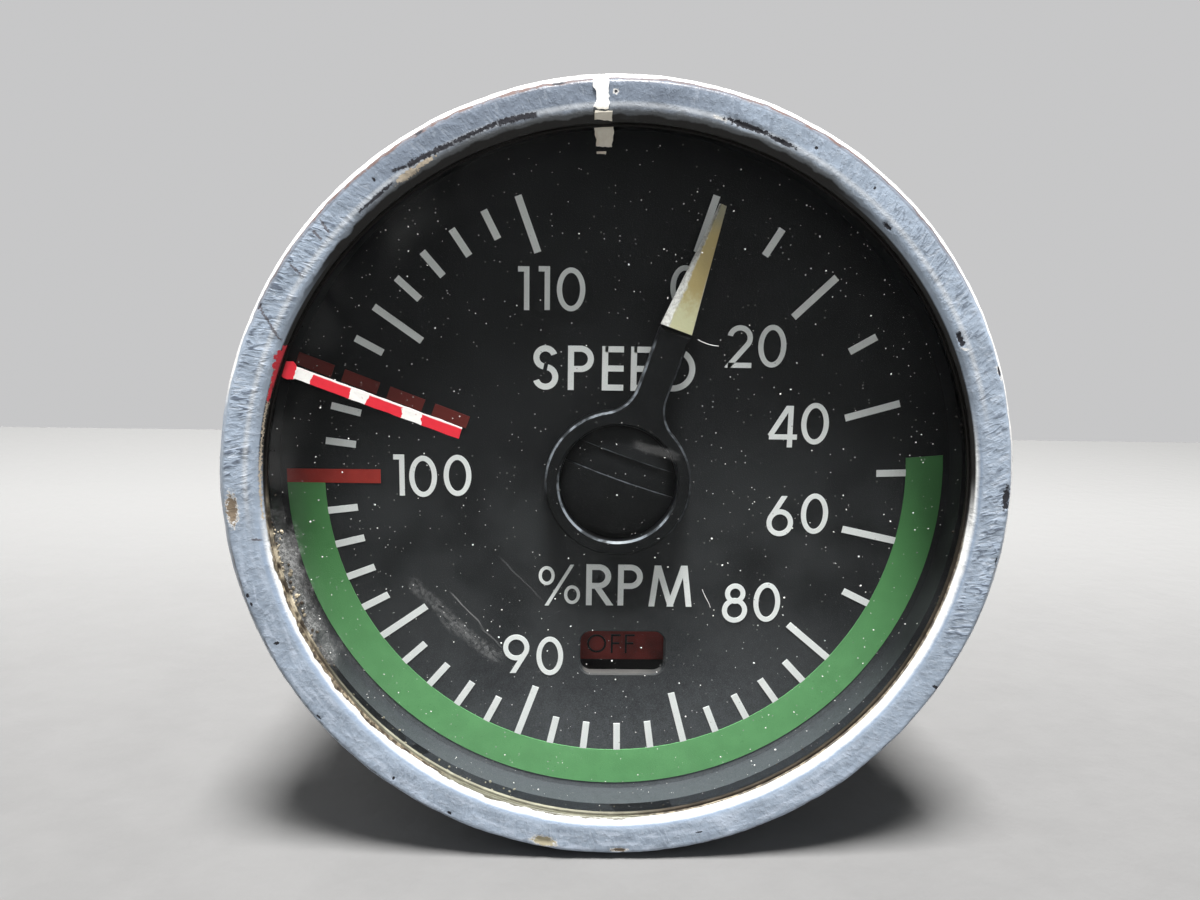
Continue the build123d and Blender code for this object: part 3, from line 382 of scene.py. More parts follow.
# %% [markdown]
# ## The marks of use on the glass
# A technician stuck a narrow strip of red and white tape on the glass and painted a white slip mark
# over the joint of glass and bezel. The strip's colours change with the distance from the dial's
# centre, so a colour ramp along the radius paints them, with a little noise to make the joints ragged.

# %% Tape and slip mark
TAPE_INNER, TAPE_OUTER, TAPE_WIDTH = 11.43, 23.95, 0.80
TAPE_ANGLE = 289.8
TAPE_SINE, TAPE_COSINE = math.sin(math.radians(TAPE_ANGLE)), math.cos(math.radians(TAPE_ANGLE))
TAPE_BANDS = ((11.43, "red"), (14.36, "white"), (15.77, "red"), (18.22, "white"), (19.39, "red"),
              (22.07, "white"), (23.15, "red"))
TAPE_COLOURS = {"red": (0.72, 0.022, 0.04, 1), "white": (0.9, 0.88, 0.84, 1)}

stripe = Finish("red and white tape", 0.35)
radius = stripe.polar()[1]
share = (radius + stripe.noise(0.5, 2.0) * 0.5).ramp(TAPE_INNER, TAPE_OUTER, curve="LINEAR")
bands = stripe.add("ShaderNodeValToRGB", {0: share})
palette = bands.socket.node.color_ramp
palette.interpolation = "CONSTANT"
for index, (start, tone) in enumerate(TAPE_BANDS):
    stop = palette.elements[index] if index < 2 else palette.elements.new(1.0)
    stop.position = (start - TAPE_INNER) / (TAPE_OUTER - TAPE_INNER)
    stop.color = TAPE_COLOURS[tone]
# A thin pale line is painted along the strip's upper edge: a painted highlight where the tape's edge faces
# the lamp.
offset = (stripe.across * (TAPE_COSINE / MM) + stripe.up * (-TAPE_SINE / MM)
          + stripe.noise(0.8, 2.0) * 0.1)
top_edge_highlight = offset.ramp(TAPE_WIDTH / 2 - 0.09, TAPE_WIDTH / 2 - 0.03) * radius.ramp(23.0, 22.4)
faded = stripe.noise(0.35, 2.0).ramp(0.63, 0.7) * 0.4
stripe.dress(bands.under((faded, (0.45, 0.05, 0.05)), (top_edge_highlight, (0.92, 0.84, 0.82))))
stripe.grain(0.3, 0.02)

index_paint = Finish("white slip mark paint", 0.4)
grime = index_paint.noise(0.8, 3.0).ramp(0.45, 0.7)
on_bezel = index_paint.up.ramp(24.5 * MM, 24.9 * MM)
dull = index_paint.mix(grime, (0.74, 0.69, 0.58), (0.60, 0.53, 0.42))
index_paint.dress(dull.under((on_bezel, (0.95, 0.94, 0.92))))
index_paint.grain(0.5, 0.03)

# %% [markdown]
# ## Glass with dust on it
# The pane is clear, so it is a Transparent shader, and a Principled shader shows through it only where
# dust lies. Real glass would also bend the view of the dial, but the dial's depth was measured as it
# looks through the pane, so no bending is wanted. The dust is a thin veil with fine specks in it, a pale
# growth along the edge at the left, and streaks that a cloth or a finger has left.

# %% Dusty glass
# Each streak: its two ends, its half width, its strength, and how far noise breaks it up.
STREAKS = (
    ((-14.5, -6.2), (-10.6, -10.2), 0.6, 0.16, 1.0), ((-12.2, -8.9), (-7.7, -12.5), 0.65, 0.22, 1.0),
    ((-13.6, -7.4), (-9.4, -11.2), 0.12, 0.2, 0.7), ((-11.8, -7.1), (-9.0, -10.1), 0.07, 0.26, 0.3),
    ((-9.6, -9.6), (-7.6, -11.8), 0.07, 0.2, 0.5), ((-8.4, -4.5), (-5.0, -8.0), 0.06, 0.14, 0.6),
    ((0.6, 3.4), (4.4, 2.3), 0.42, 0.085, 0.35))

glass = Finish("dusty glass", 0.3)
x, z = glass.flat()
angle, radius = glass.polar()
on_front = glass.deep.ramp(glass_y + 0.6 * MM, glass_y + 0.1 * MM)
low = glass.up.ramp(4 * MM, -26 * MM)
left_rim = radius.ramp(20.5, 23.8) * glass.across.ramp(4 * MM, -24 * MM)
veil = (low * 0.25 | left_rim) * glass.noise(6.0, 4.0, warp=0.6).ramp(0.35, 0.75) * 0.06
grit = glass.specks(0.34, 0.2) * glass.noise(3.0, 3.0).ramp(0.42, 0.62) * 0.55
crumbly = glass.noise(0.2, 5.0, rough=0.85).ramp(0.4, 0.66)


def streak(start, end, half_width, strength, broken):
    """A wiped line of dust from one place to another, in millimetres."""
    run = Vector((end[0] - start[0], end[1] - start[1]))
    along, side, length = beside(x - start[0], z - start[1], run)
    side = side + (glass.noise(1.6, 2.0) - 0.5) * 0.5
    ends = along.ramp(0.0, 0.8) * along.ramp(length, length - 1.2)
    return abs(side).ramp(half_width, half_width * 0.3) * ends * (crumbly * broken + (1 - broken)) * strength


def smear(place, reach, strength):
    """A fuzzy patch of dirt on the glass."""
    gap = glass.length(x - place[0], z - place[1]) + (glass.noise(1.2, 4.0) - 0.5) * 1.6
    return gap.ramp(reach, reach * 0.2) * crumbly * strength


drifted = radius + (glass.noise(1.8, 3.0) - 0.5) * 2.4
patches = glass.noise(1.5, 3.0).ramp(0.38, 0.58, 0.25, 1.0)
growth = drifted.ramp(21.9, 23.4) * angle.within(238, 264, 5.0) * patches * (crumbly * 0.5 + 0.16)
marks = greatest([streak(*place) for place in STREAKS] + [smear((-22.4, -3.4), 1.2, 0.3), growth])
dusty = on_front * (veil | grit | marks) + 0.003
glass.set("Base Color", (0.73, 0.73, 0.72))
clear = glass.add("ShaderNodeBsdfTransparent", {"Color": (0.97, 0.98, 0.975)})
pane = glass.add("ShaderNodeMixShader", {0: dusty, 1: clear, 2: glass.surface})
glass.wire(pane, glass.shown)

# %% [markdown]
# ## The bezel's paint
# The bezel is steel with a thick blue-grey coat that was brushed on. It lies in ripples across the ring at
# both sides and in long streaks round it lower down. Its upper outer edge is painted white, partly worn
# paint and partly a painted highlight. The bevel at the glass is painted bright below, a painted highlight
# with some worn paint, and nearly black above, a painted shade. Chips have come off along both edges. Wear
# and the painted light follow the form, so their masks are made from two numbers, the angle round the dial
# and the distance from its centre, and noise breaks their edges.

# %% Bezel paint
# Each chip: its angle from the top, its distance from the centre, its half length round the ring and its
# half height, in millimetres.
DARK_CHIPS = (
    (90.0, 26.22, 0.95, 0.27), (64.3, 24.62, 0.6, 0.2), (43.4, 24.52, 0.38, 0.13), (99.6, 26.3, 0.3, 0.08),
    (121.2, 26.22, 0.12, 0.26), (206.6, 26.1, 0.2, 0.1), (232.0, 26.2, 0.25, 0.09), (245.3, 25.72, 0.13, 0.2),
    (252.3, 26.15, 0.17, 0.1), (253.7, 26.2, 0.16, 0.12), (321.6, 25.66, 0.09, 0.17),
    (358.3, 25.72, 0.1, 0.09), (71.2, 26.45, 0.4, 0.14), (330.3, 26.45, 0.3, 0.12), (350.5, 26.48, 0.45, 0.1),
    (297.2, 26.4, 0.22, 0.12), (17.8, 24.95, 1.8, 0.2), (23.0, 24.9, 1.1, 0.15), (320.0, 24.72, 0.9, 0.09),
    (28.0, 25.55, 0.1, 0.12), (38.2, 25.65, 0.08, 0.12), (217.0, 25.9, 0.1, 0.12), (166.0, 25.5, 0.3, 0.06))
BROWN_CHIPS = ((266.9, 25.95, 1.05, 0.38), (191.0, 26.0, 0.85, 0.38), (179.0, 26.2, 0.6, 0.16))
RED_SMEARS = ((288.4, 23.98, 1.0, 0.16), (291.6, 24.05, 0.5, 0.3), (285.6, 24.02, 0.7, 0.1),
              (290.0, 24.1, 0.35, 0.25), (292.9, 23.95, 0.35, 0.15))
ONE_DEGREE = math.radians(1) * 25.5     # its length along the middle of the ring
# The black of the painted shade on the upper bevel and the upper wall.
NEARLY_BLACK = (0.012, 0.011, 0.010)

coat = Finish("worn blue grey paint with painted light", 0.38, shine=0.3)
angle, radius = coat.polar()
round_ring = angle * ONE_DEGREE
fine = coat.noise(0.4, 4.0, rough=0.65).ramp(0.42, 0.72)
# The top of the face is mixed darker: partly the paint's own tone, partly a painted shade.
at_top = angle.within(-20, 14, 10.0) | angle.within(318, 380, 12.0)
colour = coat.shade((0.325, 0.385, 0.465), 0.10, 4.0).under(
    (fine * 0.4, (0.42, 0.47, 0.54)), (at_top, (0.20, 0.235, 0.29)))

# The ripples run across the ring, a little aslant: noise is read along the ring and, drawn out, across it.
aslant = (round_ring + radius * 0.3) * MM
turns = coat.add("ShaderNodeCombineXYZ", {0: aslant, 1: radius * (0.3 * MM), 2: 0.0})
ripples = coat.noise(0.29, 2.0, where=turns, warp=0.9)
rippled = angle.within(40, 118, 14.0) * 0.75 | angle.within(86, 116, 5.0) | angle.within(266, 318, 8.0) | 0.3
on_face = radius.ramp(24.4, 24.9) * radius.ramp(26.5, 26.2)
worked = rippled * on_face * coat.noise(1.6, 2.0).ramp(0.35, 0.55, 0.3, 1.0)

# Lower down the brush went round the ring: long soft streaks.
brushed = coat.add("ShaderNodeCombineXYZ", {0: round_ring * (0.22 * MM), 1: radius * MM, 2: 0.0})
streaks = coat.noise(0.5, 3.0, where=brushed, warp=0.5)
low = angle.within(135, 262, 12.0) * on_face
colour = colour.under(
    (ripples.ramp(0.54, 0.62) * worked * 0.95, (0.13, 0.155, 0.20)),
    (ripples.ramp(0.43, 0.35) * worked * 0.75, (0.52, 0.57, 0.64)),
    (streaks.ramp(0.52, 0.68) * low * 0.4, (0.22, 0.26, 0.32)),
    (streaks.ramp(0.5, 0.34) * low * 0.8, (0.47, 0.53, 0.62)))

jitter = coat.noise(0.22, 5.0, rough=0.75) - 0.5
wander = (coat.noise(1.1, 4.0) - 0.5) * 0.5
rough_radius = radius + wander


def around(*sectors, soft=3.0):
    """A mask that is 1 in some sectors of the ring."""
    return greatest([angle.within(start, end, soft) for start, end in sectors])


def broken(size, share):
    return coat.noise(size, 4.0, rough=0.65).ramp(share - 0.04, share + 0.04)


def chips(*places, reach=1.0):
    """Oval chips with ragged edges, or somewhat larger ovals when the reach is above 1."""
    found = []
    for turn, distance, half_length, half_height in places:
        u, v = (angle - turn) * (ONE_DEGREE / half_length), (radius - distance) * (1 / half_height)
        found.append((coat.length(u, v) + jitter * 2.6).ramp(reach, reach - 0.15))
    return greatest(found)


def grooves(*places):
    """Ragged lines on the ring, each from one angle and distance to another, with its half width."""
    found = []
    for start, end, half_width in places:
        run = Vector(((end[0] - start[0]) * ONE_DEGREE, end[1] - start[1]))
        along, side, length = beside((angle - start[0]) * ONE_DEGREE, radius - start[1], run)
        line = abs(side + jitter * 0.6).ramp(half_width + 0.05, half_width)
        found.append(line * along.ramp(-0.1, 0.1) * along.ramp(length + 0.1, length - 0.1))
    return greatest(found)


# The edges first. At the top the outer edge is painted white, partly worn paint and partly a painted
# highlight, and the face fades dark towards the inner bevel, a painted shade, with a pale line on it that
# is partly worn paint and partly a painted highlight. The inner bevel is painted bright below, a painted
# highlight with some worn paint, and nearly black above, a painted shade. A chamfer that faces the lamp
# looks far lighter than the front, so its blue is mixed darker to look the same.
near_front = (coat.deep + jitter * (1.2 * MM)).ramp(bezel_y + 1.6 * MM, bezel_y + 1.2 * MM)
rubbed_and_highlit = rough_radius.ramp(26.56, 26.68) * around((-5, 97), (283, 365)) * near_front
top_part = around((-5, 58), (296, 365), soft=8.0)
shoulder = radius.within(26.26, 26.6, 0.05) * top_part * 0.8
tan_line = rough_radius.within(26.44, 26.6, 0.05) * top_part * 0.85
under_edge = rough_radius.within(26.36, 26.6, 0.05) * around((98, 168), (205, 262)) * broken(0.6, 0.5) * 0.7
bottom = around((80, 263), soft=6.0)
narrower = angle.within(222, 270, 8.0) * 0.1
bevel = (radius + narrower + wander * 0.3).ramp(24.42, 24.12) * bottom
pale_line_worn_and_highlit = radius.within(24.8, 25.1, 0.14) * around((-5, 76), (266, 365), soft=6.0) * 0.6
upper_inner_shade = rough_radius.ramp(25.0, 24.5) * around((-5, 38), (316, 365), soft=10.0) * 0.8
upper_gap_shade = rough_radius.ramp(24.42, 24.28) * around((-5, 40), (302, 365), soft=8.0)
upper_bevel_shade = radius.ramp(24.2, 24.08) * around((-5, 92), (272, 365), soft=6.0) | upper_gap_shade
colour = colour.under(
    (rubbed_and_highlit, (0.90, 0.88, 0.85)), (shoulder, (0.13, 0.14, 0.165)), (tan_line, (0.12, 0.09, 0.085)),
    (under_edge, (0.10, 0.09, 0.10)), (radius.ramp(24.6, 24.4) * bottom, (0.27, 0.33, 0.42)),
    (bevel, (0.88, 0.88, 0.86)), (pale_line_worn_and_highlit, (0.56, 0.58, 0.60)), (upper_inner_shade, (0.085, 0.085, 0.078)),
    (upper_bevel_shade, NEARLY_BLACK))

# Then what is missing: broken lines along both edges, a torn line at the upper left, chips and scratches.
outer_wear = rough_radius.within(26.38, 26.6, 0.05) * around((17, 34), (311, 352)) * broken(0.8, 0.47)
torn = grooves(
    ((324.4, 25.4), (326.6, 25.1), 0.07), ((326.6, 25.1), (334.0, 24.92), 0.13),
    ((334.0, 24.92), (341.0, 25.0), 0.11), ((341.0, 25.0), (346.8, 24.88), 0.16),
    ((316.8, 24.74), (323.5, 24.78), 0.05))
scores = grooves(
    ((297.2, 26.4), (294.0, 24.3), 0.05), ((304.6, 26.0), (304.2, 24.9), 0.04),
    ((310.4, 26.1), (310.1, 25.3), 0.06), ((312.2, 26.2), (311.6, 25.2), 0.04),
    ((262.2, 24.9), (261.8, 24.3), 0.05))
pale_nicks = grooves(((66.3, 24.85), (65.6, 24.4), 0.05), ((12.5, 24.95), (14.5, 24.85), 0.06),
                     ((70.2, 26.3), (72.4, 26.5), 0.07))
dark_chips, brown_chips = chips(*DARK_CHIPS), chips(*BROWN_CHIPS)
rims = chips(*BROWN_CHIPS, reach=1.2) | pale_nicks | chips((358.3, 25.72, 0.21, 0.19))
beige = (chips((325.9, 24.66, 0.95, 0.24), (329.0, 24.72, 0.8, 0.16))
         | grooves(((265, 24.05), (292, 24.02), 0.03)))
colour = colour.under(
    (rims * 0.8, (0.78, 0.76, 0.72)), (outer_wear * 0.9, (0.12, 0.075, 0.065)), (beige, (0.45, 0.38, 0.29)),
    (torn | dark_chips, (0.022, 0.022, 0.028)), (scores * 0.85, (0.11, 0.10, 0.11)),
    (brown_chips, (0.22, 0.17, 0.12)), (brown_chips * around((186, 196)), (0.42, 0.37, 0.25)),
    (chips(*RED_SMEARS), (0.55, 0.03, 0.045)))

# The wall that meets the glass is dirty: beige low down and olive at the lower left. Above, it is painted
# nearly black, a painted shade. At the lower left the dirt has crept up the bevel.
dirt = coat.noise(0.5, 5.0, rough=0.65).ramp(0.42, 0.6)
olive_part = around((174, 211), soft=4.0)
crept = rough_radius.ramp(24.02, 23.94) * around((174, 262), soft=5.0)
stain = coat.mix(dirt, (0.03, 0.022, 0.016), (0.14, 0.115, 0.08)).under((olive_part, (0.085, 0.08, 0.055)))
low_dirt = coat.mix(dirt, (0.09, 0.07, 0.05), (0.36, 0.30, 0.21)).under((olive_part, (0.20, 0.195, 0.14)))
wall_dirt_and_shade = coat.mix(around((98, 266), soft=5.0), NEARLY_BLACK, low_dirt)
coat.dress(colour.under((crept, stain), (radius.ramp(23.95, 23.88) * 0.95, wall_dirt_and_shade)))
missing = outer_wear | torn | dark_chips | brown_chips
coat.set("Roughness", missing.ramp(0.0, 1.0, 0.36, 0.7))
coat.bump(ripples * worked + fine * 0.2, 0.075)

sealant = Finish("aged sealant with painted shade", 0.6, shine=0.2)
angle = sealant.polar()[0]
lumps = sealant.noise(1.2, 4.0).ramp(0.42, 0.62)
olive = angle.within(178, 232, 10.0) * lumps.ramp(0.0, 1.0, 0.7, 1.0)
# Above, the sealant is painted nearly black, a painted shade; below it is brown.
dark = sealant.mix(angle.within(96, 268, 8.0), (0.010, 0.009, 0.008),
                   sealant.shade((0.045, 0.035, 0.026), 0.3, 1.5))
beige = angle.within(243, 266, 5.0) * lumps
sealant.dress(dark.under((olive, (0.30, 0.29, 0.22)), (beige, (0.60, 0.52, 0.38))))
sealant.grain(0.5, 0.06, 3.0)

# %% [markdown]
# ## Metals, plastics and rubber behind the dial
# The rest of the instrument isn't seen from the front, but it is judged from all sides. Two recipes cover
# it: a metal whose roughness is drawn out into fine turned or brushed lines, and a moulded plastic or
# paint with a fine texture and a little dirt in the clouds.

# %% Two recipes for the rest
def metal(name, colour, roughness=0.32, grain=(1.0, 1.0, 1.0), depth=0.008, tarnish=0.25):
    finish = Finish(name, roughness, 1.0)
    lines = finish.noise(0.25, 3.0, where=finish.stretch(*grain))
    stained = finish.noise(3.5, 4.0).ramp(0.48, 0.75)
    dull = [c * (1 - tarnish) * 0.8 for c in colour]
    finish.dress(finish.shade(colour, 0.06, 0.8).under((stained, dull)))
    finish.set("Roughness", lines.ramp(0.2, 0.8, roughness * 0.75, roughness * 1.5))
    finish.bump(lines, depth)
    return finish


def moulded(name, colour, roughness=0.5, size=0.3, depth=0.02, dirt=0.3):
    finish = Finish(name, roughness)
    smudge = finish.noise(5.0, 5.0).ramp(0.5, 0.8)
    pale = [min(1.0, c * 0.7 + 0.06) for c in colour]
    finish.dress(finish.shade(colour, 0.12, 1.5).under((smudge * dirt, pale)))
    finish.set("Roughness", smudge.ramp(0.0, 1.0, roughness, min(1.0, roughness + 0.18)))
    finish.grain(size, depth)
    return finish


finishes = {
    "bezel_paint": coat, "black_paint": black_paint, "dial_black": dial_black, "white_print": white_print,
    "green_print": green_print, "red_print": red_print, "stripe_paint": stripe, "index_paint": index_paint,
    "ivory_paint": ivory, "flag_red": flag_red, "glass": glass, "sealant": sealant,
    "case_paint": moulded("grey case paint", (0.045, 0.048, 0.054), 0.42, 0.45, 0.03),
    "seal_rubber": moulded("black rubber", (0.02, 0.02, 0.02), 0.7, 0.2, 0.02),
    "insulator": moulded("grey insulator", (0.16, 0.18, 0.17), 0.5, 0.3, 0.015),
    "board_green": moulded("board lacquer", (0.02, 0.10, 0.035), 0.3, 1.2, 0.03),
    "chip_black": moulded("chip moulding", (0.018, 0.018, 0.02), 0.6, 0.12, 0.015),
    "transformer_wrap": moulded("transformer wrap", (0.46, 0.32, 0.07), 0.4, 0.8, 0.03),
    "capacitor_sleeve": moulded("capacitor sleeve", (0.03, 0.06, 0.24), 0.25, 0.8, 0.02),
    "potentiometer_case": moulded("dark blue moulding", (0.03, 0.04, 0.10), 0.4, 0.3, 0.02),
    "bare_aluminium": metal("machined aluminium", (0.72, 0.72, 0.73), 0.34, (1, 6, 1)),
    "brass": metal("cut brass", (0.72, 0.53, 0.22), 0.3, (1, 6, 1)),
    "bronze": metal("turned bronze", (0.55, 0.36, 0.18), 0.35, (1, 8, 1)),
    "plated_steel": metal("plated steel", (0.60, 0.60, 0.60), 0.28),
    "motor_can": metal("drawn steel can", (0.52, 0.53, 0.54), 0.3, (6, 0.6, 6)),
    "connector_plating": metal("olive plating", (0.34, 0.35, 0.20), 0.42, (1, 5, 1), 0.01, 0.35),
    "gold_pins": metal("gold plate", (0.83, 0.60, 0.20), 0.22),
}

# %% [markdown]
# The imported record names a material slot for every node, so one loop dresses them all. An object's
# material can be swapped without touching its mesh.

# %% Dress the CAD nodes
for part in frame["record"]["subparts"]:
    thing = frame["nodes"][part["node"]]
    thing.data.materials.clear()
    thing.data.materials.append(finishes[part["material_slot"]].material)
plate_black = moulded("black anodised plate", (0.018, 0.018, 0.020), 0.5, 0.3, 0.01, 0.1)
for node, finish in (("dial_shroud", shroud_black), ("pointer", pointer_black), ("hub_cap", cap_black),
                     ("front_plate", plate_black)):
    frame["nodes"][node].data.materials[0] = finish.material

# %% [markdown]
# ## Helpers for modelling
# New pieces are modelled as by hand, with operators. Each is named, finished with a material, and told
# which body of the mechanism it moves with. Operators act on the active object and on what is selected in
# it, so short helpers open its mesh, select all of it and close it again.

# %% Modelling helpers
def tool_on(thing):
    """Makes one object the active and only selected one."""
    bpy.ops.object.select_all(action="DESELECT")
    bpy.context.view_layer.objects.active = thing
    thing.select_set(True)


def settle():
    """Writes the active object's place, turn and size into its mesh."""
    bpy.ops.object.transform_apply(location=True, rotation=True, scale=True)


def select_all():
    """Selects all of the mesh that is open."""
    bpy.ops.mesh.select_all(action="SELECT")


def edit():
    """Opens the active object's mesh with all of it selected."""
    bpy.ops.object.mode_set(mode="EDIT")
    select_all()


def leave():
    bpy.ops.object.mode_set(mode="OBJECT")


def copy_of(original):
    """A copy of an object with a mesh of its own."""
    copy = original.copy()
    copy.data = original.data.copy()
    bpy.context.collection.objects.link(copy)
    return copy


def joined(things, name):
    """Joins several objects into one."""
    tool_on(things[0])
    for thing in things:
        thing.select_set(True)
    if len(things) > 1:
        bpy.ops.object.join()
    bpy.context.object.name = name
    settle()
    return bpy.context.object


def finished(thing, slot, body="housing", finish=None):
    """Puts an object's place into its mesh, paints it and lets it ride on a body."""
    tool_on(thing)
    settle()
    thing.data.materials.clear()
    thing.data.materials.append((finish or finishes[slot]).material)
    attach(thing, body)
    bpy.ops.object.select_all(action="DESELECT")


def thicken(thing, thickness):
    """Gives a flat drawing its thickness, towards -Y."""
    tool_on(thing)
    edit()
    bpy.ops.mesh.extrude_region_move(TRANSFORM_OT_translate={"value": (0, -thickness, 0)})
    select_all()
    bpy.ops.mesh.normals_make_consistent(inside=False)
    leave()


def united(things, name):
    """Melts overlapping solids into one with the Boolean modifier."""
    base = things[0]
    for other in things[1:]:
        tool_on(base)
        union = base.modifiers.new("union", "BOOLEAN")
        union.operation, union.solver, union.object = "UNION", "EXACT", other
        bpy.ops.object.modifier_apply(modifier=union.name)
        bpy.data.objects.remove(other)
    base.name = name
    return base


# %% [markdown]
# ## Numerals and words
# The lettering on such a dial is a plain sign writer's face: round letters on true circles, straight
# strokes of one width, and diagonals cut level at the top and bottom. A text object would bring another
# font's shapes, so each character is drawn with three kinds of stroke, as with a lettering stencil:
# a straight bar, an oval ring and a part of a circle. One unit is the height of a capital, and the middle
# of the character is at the origin.

# %% Three strokes of the lettering stencil
UPRIGHT = math.pi / 2     # turns what is drawn on the floor up to face the reader


def bar(start, end, width):
    """A straight stroke between two points."""
    run = Vector((end[0] - start[0], 0, end[1] - start[1]))
    middle = ((start[0] + end[0]) / 2, 0, (start[1] + end[1]) / 2)
    turn = (UPRIGHT, -math.atan2(run.z, run.x), 0)
    bpy.ops.mesh.primitive_plane_add(size=1, location=middle, rotation=turn)
    bpy.context.object.scale = (run.length, width, 1)
    settle()
    return bpy.context.object


def oval(centre, half_width, half_height, width):
    """A ring drawn with a pen of one width: two ovals with a bridge between them."""
    bpy.ops.mesh.primitive_circle_add(vertices=56, radius=1, rotation=(UPRIGHT, 0, 0))
    ring = bpy.context.object
    ring.scale = (half_width + width / 2, half_height + width / 2, 1)
    settle()
    edit()
    bpy.ops.mesh.duplicate()
    bpy.ops.transform.resize(value=((half_width - width / 2) / (half_width + width / 2), 1,
                                    (half_height - width / 2) / (half_height + width / 2)))
    select_all()
    bpy.ops.mesh.bridge_edge_loops()
    select_all()
    bpy.ops.transform.translate(value=(centre[0], 0, centre[1]))
    leave()
    return ring


def arc(centre, radius, start, end, width):
    """Part of a circle, from one angle to another in degrees, counted up from +X towards +Z."""
    bpy.ops.mesh.primitive_plane_add(size=1, rotation=(UPRIGHT, 0, 0))
    piece = bpy.context.object
    settle()
    first = math.radians(start)
    out = Vector((math.cos(first), 0, math.sin(first)))
    edit()
    bpy.ops.mesh.delete(type="ONLY_FACE")
    leave()
    for vertex, side in zip(piece.data.vertices, (-1, 1, -1, 1)):
        vertex.co = out * (radius + side * width / 2) + Vector((centre[0], 0, centre[1]))
    edit()
    bpy.ops.mesh.remove_doubles(threshold=0.0001)
    select_all()
    bpy.ops.mesh.spin(steps=max(6, int(abs(end - start) / 7)), angle=math.radians(end - start),
                      center=(centre[0], 0, centre[1]), axis=(0, 1, 0))
    leave()
    return piece


# %% [markdown]
# A character is then a short list of strokes. The nine is the six turned over, and P lends its shape
# to R, so each form is drawn once. Diagonals run past the line and are cut level with bisect, as a
# sign writer trims them.

# %% The characters
PEN, WORD_PEN, FLAG_PEN, SIGN_PEN = 0.122, 0.135, 0.1, 0.075


def six(turn=1):
    """The six, or the nine when it is turned by -1."""
    return [oval((0, -0.165 * turn), 0.262, 0.274, PEN),
            bar((-0.245 * turn, -0.06 * turn), (0.135 * turn, 0.58 * turn), PEN)]


def stem(x, pen=PEN):
    return bar((x, -0.5), (x, 0.5), pen)


def levels(left, *lines, pen=PEN):
    """Level bars from one upright: each has a height and a right end."""
    return [bar((left, z), (right, z), pen) for z, right in lines]


def bowl(centre, radius, back, *legs):
    """The upright of a P, a leg if there is one, and the bowl: two short bars and half a circle."""
    x, z = centre
    short = levels(back, (z + radius, x), (z - radius, x), pen=WORD_PEN)
    return [stem(back, WORD_PEN), *legs, *short, arc(centre, radius, -90, 90, WORD_PEN)]


characters = {
    "0": lambda: [oval((0, 0), 0.27, 0.44, PEN)],
    "1": lambda: [stem(0.06)] + levels(-0.14, (0.44, 0.1)),
    "2": lambda: [arc((0, 0.2), 0.238, 168, -38, PEN), bar((0.205, 0.075), (-0.30, -0.52), PEN)]
    + levels(-0.27, (-0.44, 0.29)),
    "4": lambda: [stem(0.17)] + levels(-0.33, (-0.25, 0.34)) + [bar((0.17, 0.56), (-0.31, -0.23), PEN)],
    "6": six,
    "9": lambda: six(-1),
    "8": lambda: [oval((0, 0.245), 0.19, 0.195, PEN), oval((0, -0.185), 0.25, 0.255, PEN)],
    "S": lambda: [arc((0, 0.225), 0.205, 20, 258, WORD_PEN), arc((0, -0.212), 0.222, 78, -160, WORD_PEN)],
    "P": lambda: bowl((0.0, 0.205), 0.228, -0.22),
    "R": lambda: bowl((0.0, 0.205), 0.228, -0.22, bar((-0.04, -0.04), (0.33, -0.58), WORD_PEN)),
    "E": lambda: [stem(-0.18, WORD_PEN)]
    + levels(-0.18, (-0.433, 0.24), (0.0, 0.24), (0.433, 0.24), pen=WORD_PEN),
    "D": lambda: bowl((-0.08, 0.0), 0.433, -0.27),
    "M": lambda: [bar((-0.45, -0.56), (-0.31, 0.56), WORD_PEN), bar((-0.33, 0.58), (0.03, -0.56), WORD_PEN),
                  bar((0.33, 0.58), (-0.03, -0.56), WORD_PEN), bar((0.45, -0.56), (0.31, 0.56), WORD_PEN)],
    "%": lambda: [oval((-0.3, 0.23), 0.15, 0.19, SIGN_PEN), oval((0.3, -0.23), 0.15, 0.19, SIGN_PEN),
                  bar((-0.37, -0.62), (0.37, 0.62), SIGN_PEN)],
    "O": lambda: [oval((0, 0), 0.435, 0.435, FLAG_PEN)],
    "F": lambda: [stem(-0.2, FLAG_PEN)] + levels(-0.2, (0.45, 0.24), (0.02, 0.18), pen=FLAG_PEN),
}


def character(letter):
    """Draws one character once, a unit high, and trims it level at the top and bottom."""
    strokes = characters[letter]()
    for stroke in strokes:
        thicken(stroke, 1)
    drawn = united(strokes, "stencil_" + str(ord(letter)))
    tool_on(drawn)
    bpy.ops.object.mode_set(mode="EDIT")
    for side in (1, -1):
        select_all()
        bpy.ops.mesh.bisect(plane_co=(0, 0, 0.5 * side), plane_no=(0, 0, side), clear_outer=True,
                            use_fill=True)
    select_all()
    bpy.ops.mesh.remove_doubles(threshold=0.0005)
    bpy.ops.mesh.normals_make_consistent(inside=False)
    leave()
    return drawn


stencils = {letter: character(letter) for letter in characters}
print("characters drawn:", len(stencils))

# %% [markdown]
# The places are the middles of the characters on the dial, in millimetres from its centre. Every
# character is a copy of its stencil with a mesh of its own, flattened to the thickness of the ink.

# %% Place the lettering
INK = 0.05 * MM


def written(name, places, height, surface):
    """Copies characters to their places and joins them into one printed piece."""
    copies = []
    for letter, x, z in places:
        copy = copy_of(stencils[letter])
        copy.scale = (height * MM, INK, height * MM)
        copy.location = (x * MM, surface, z * MM)
        copies.append(copy)
    return joined(copies, name)


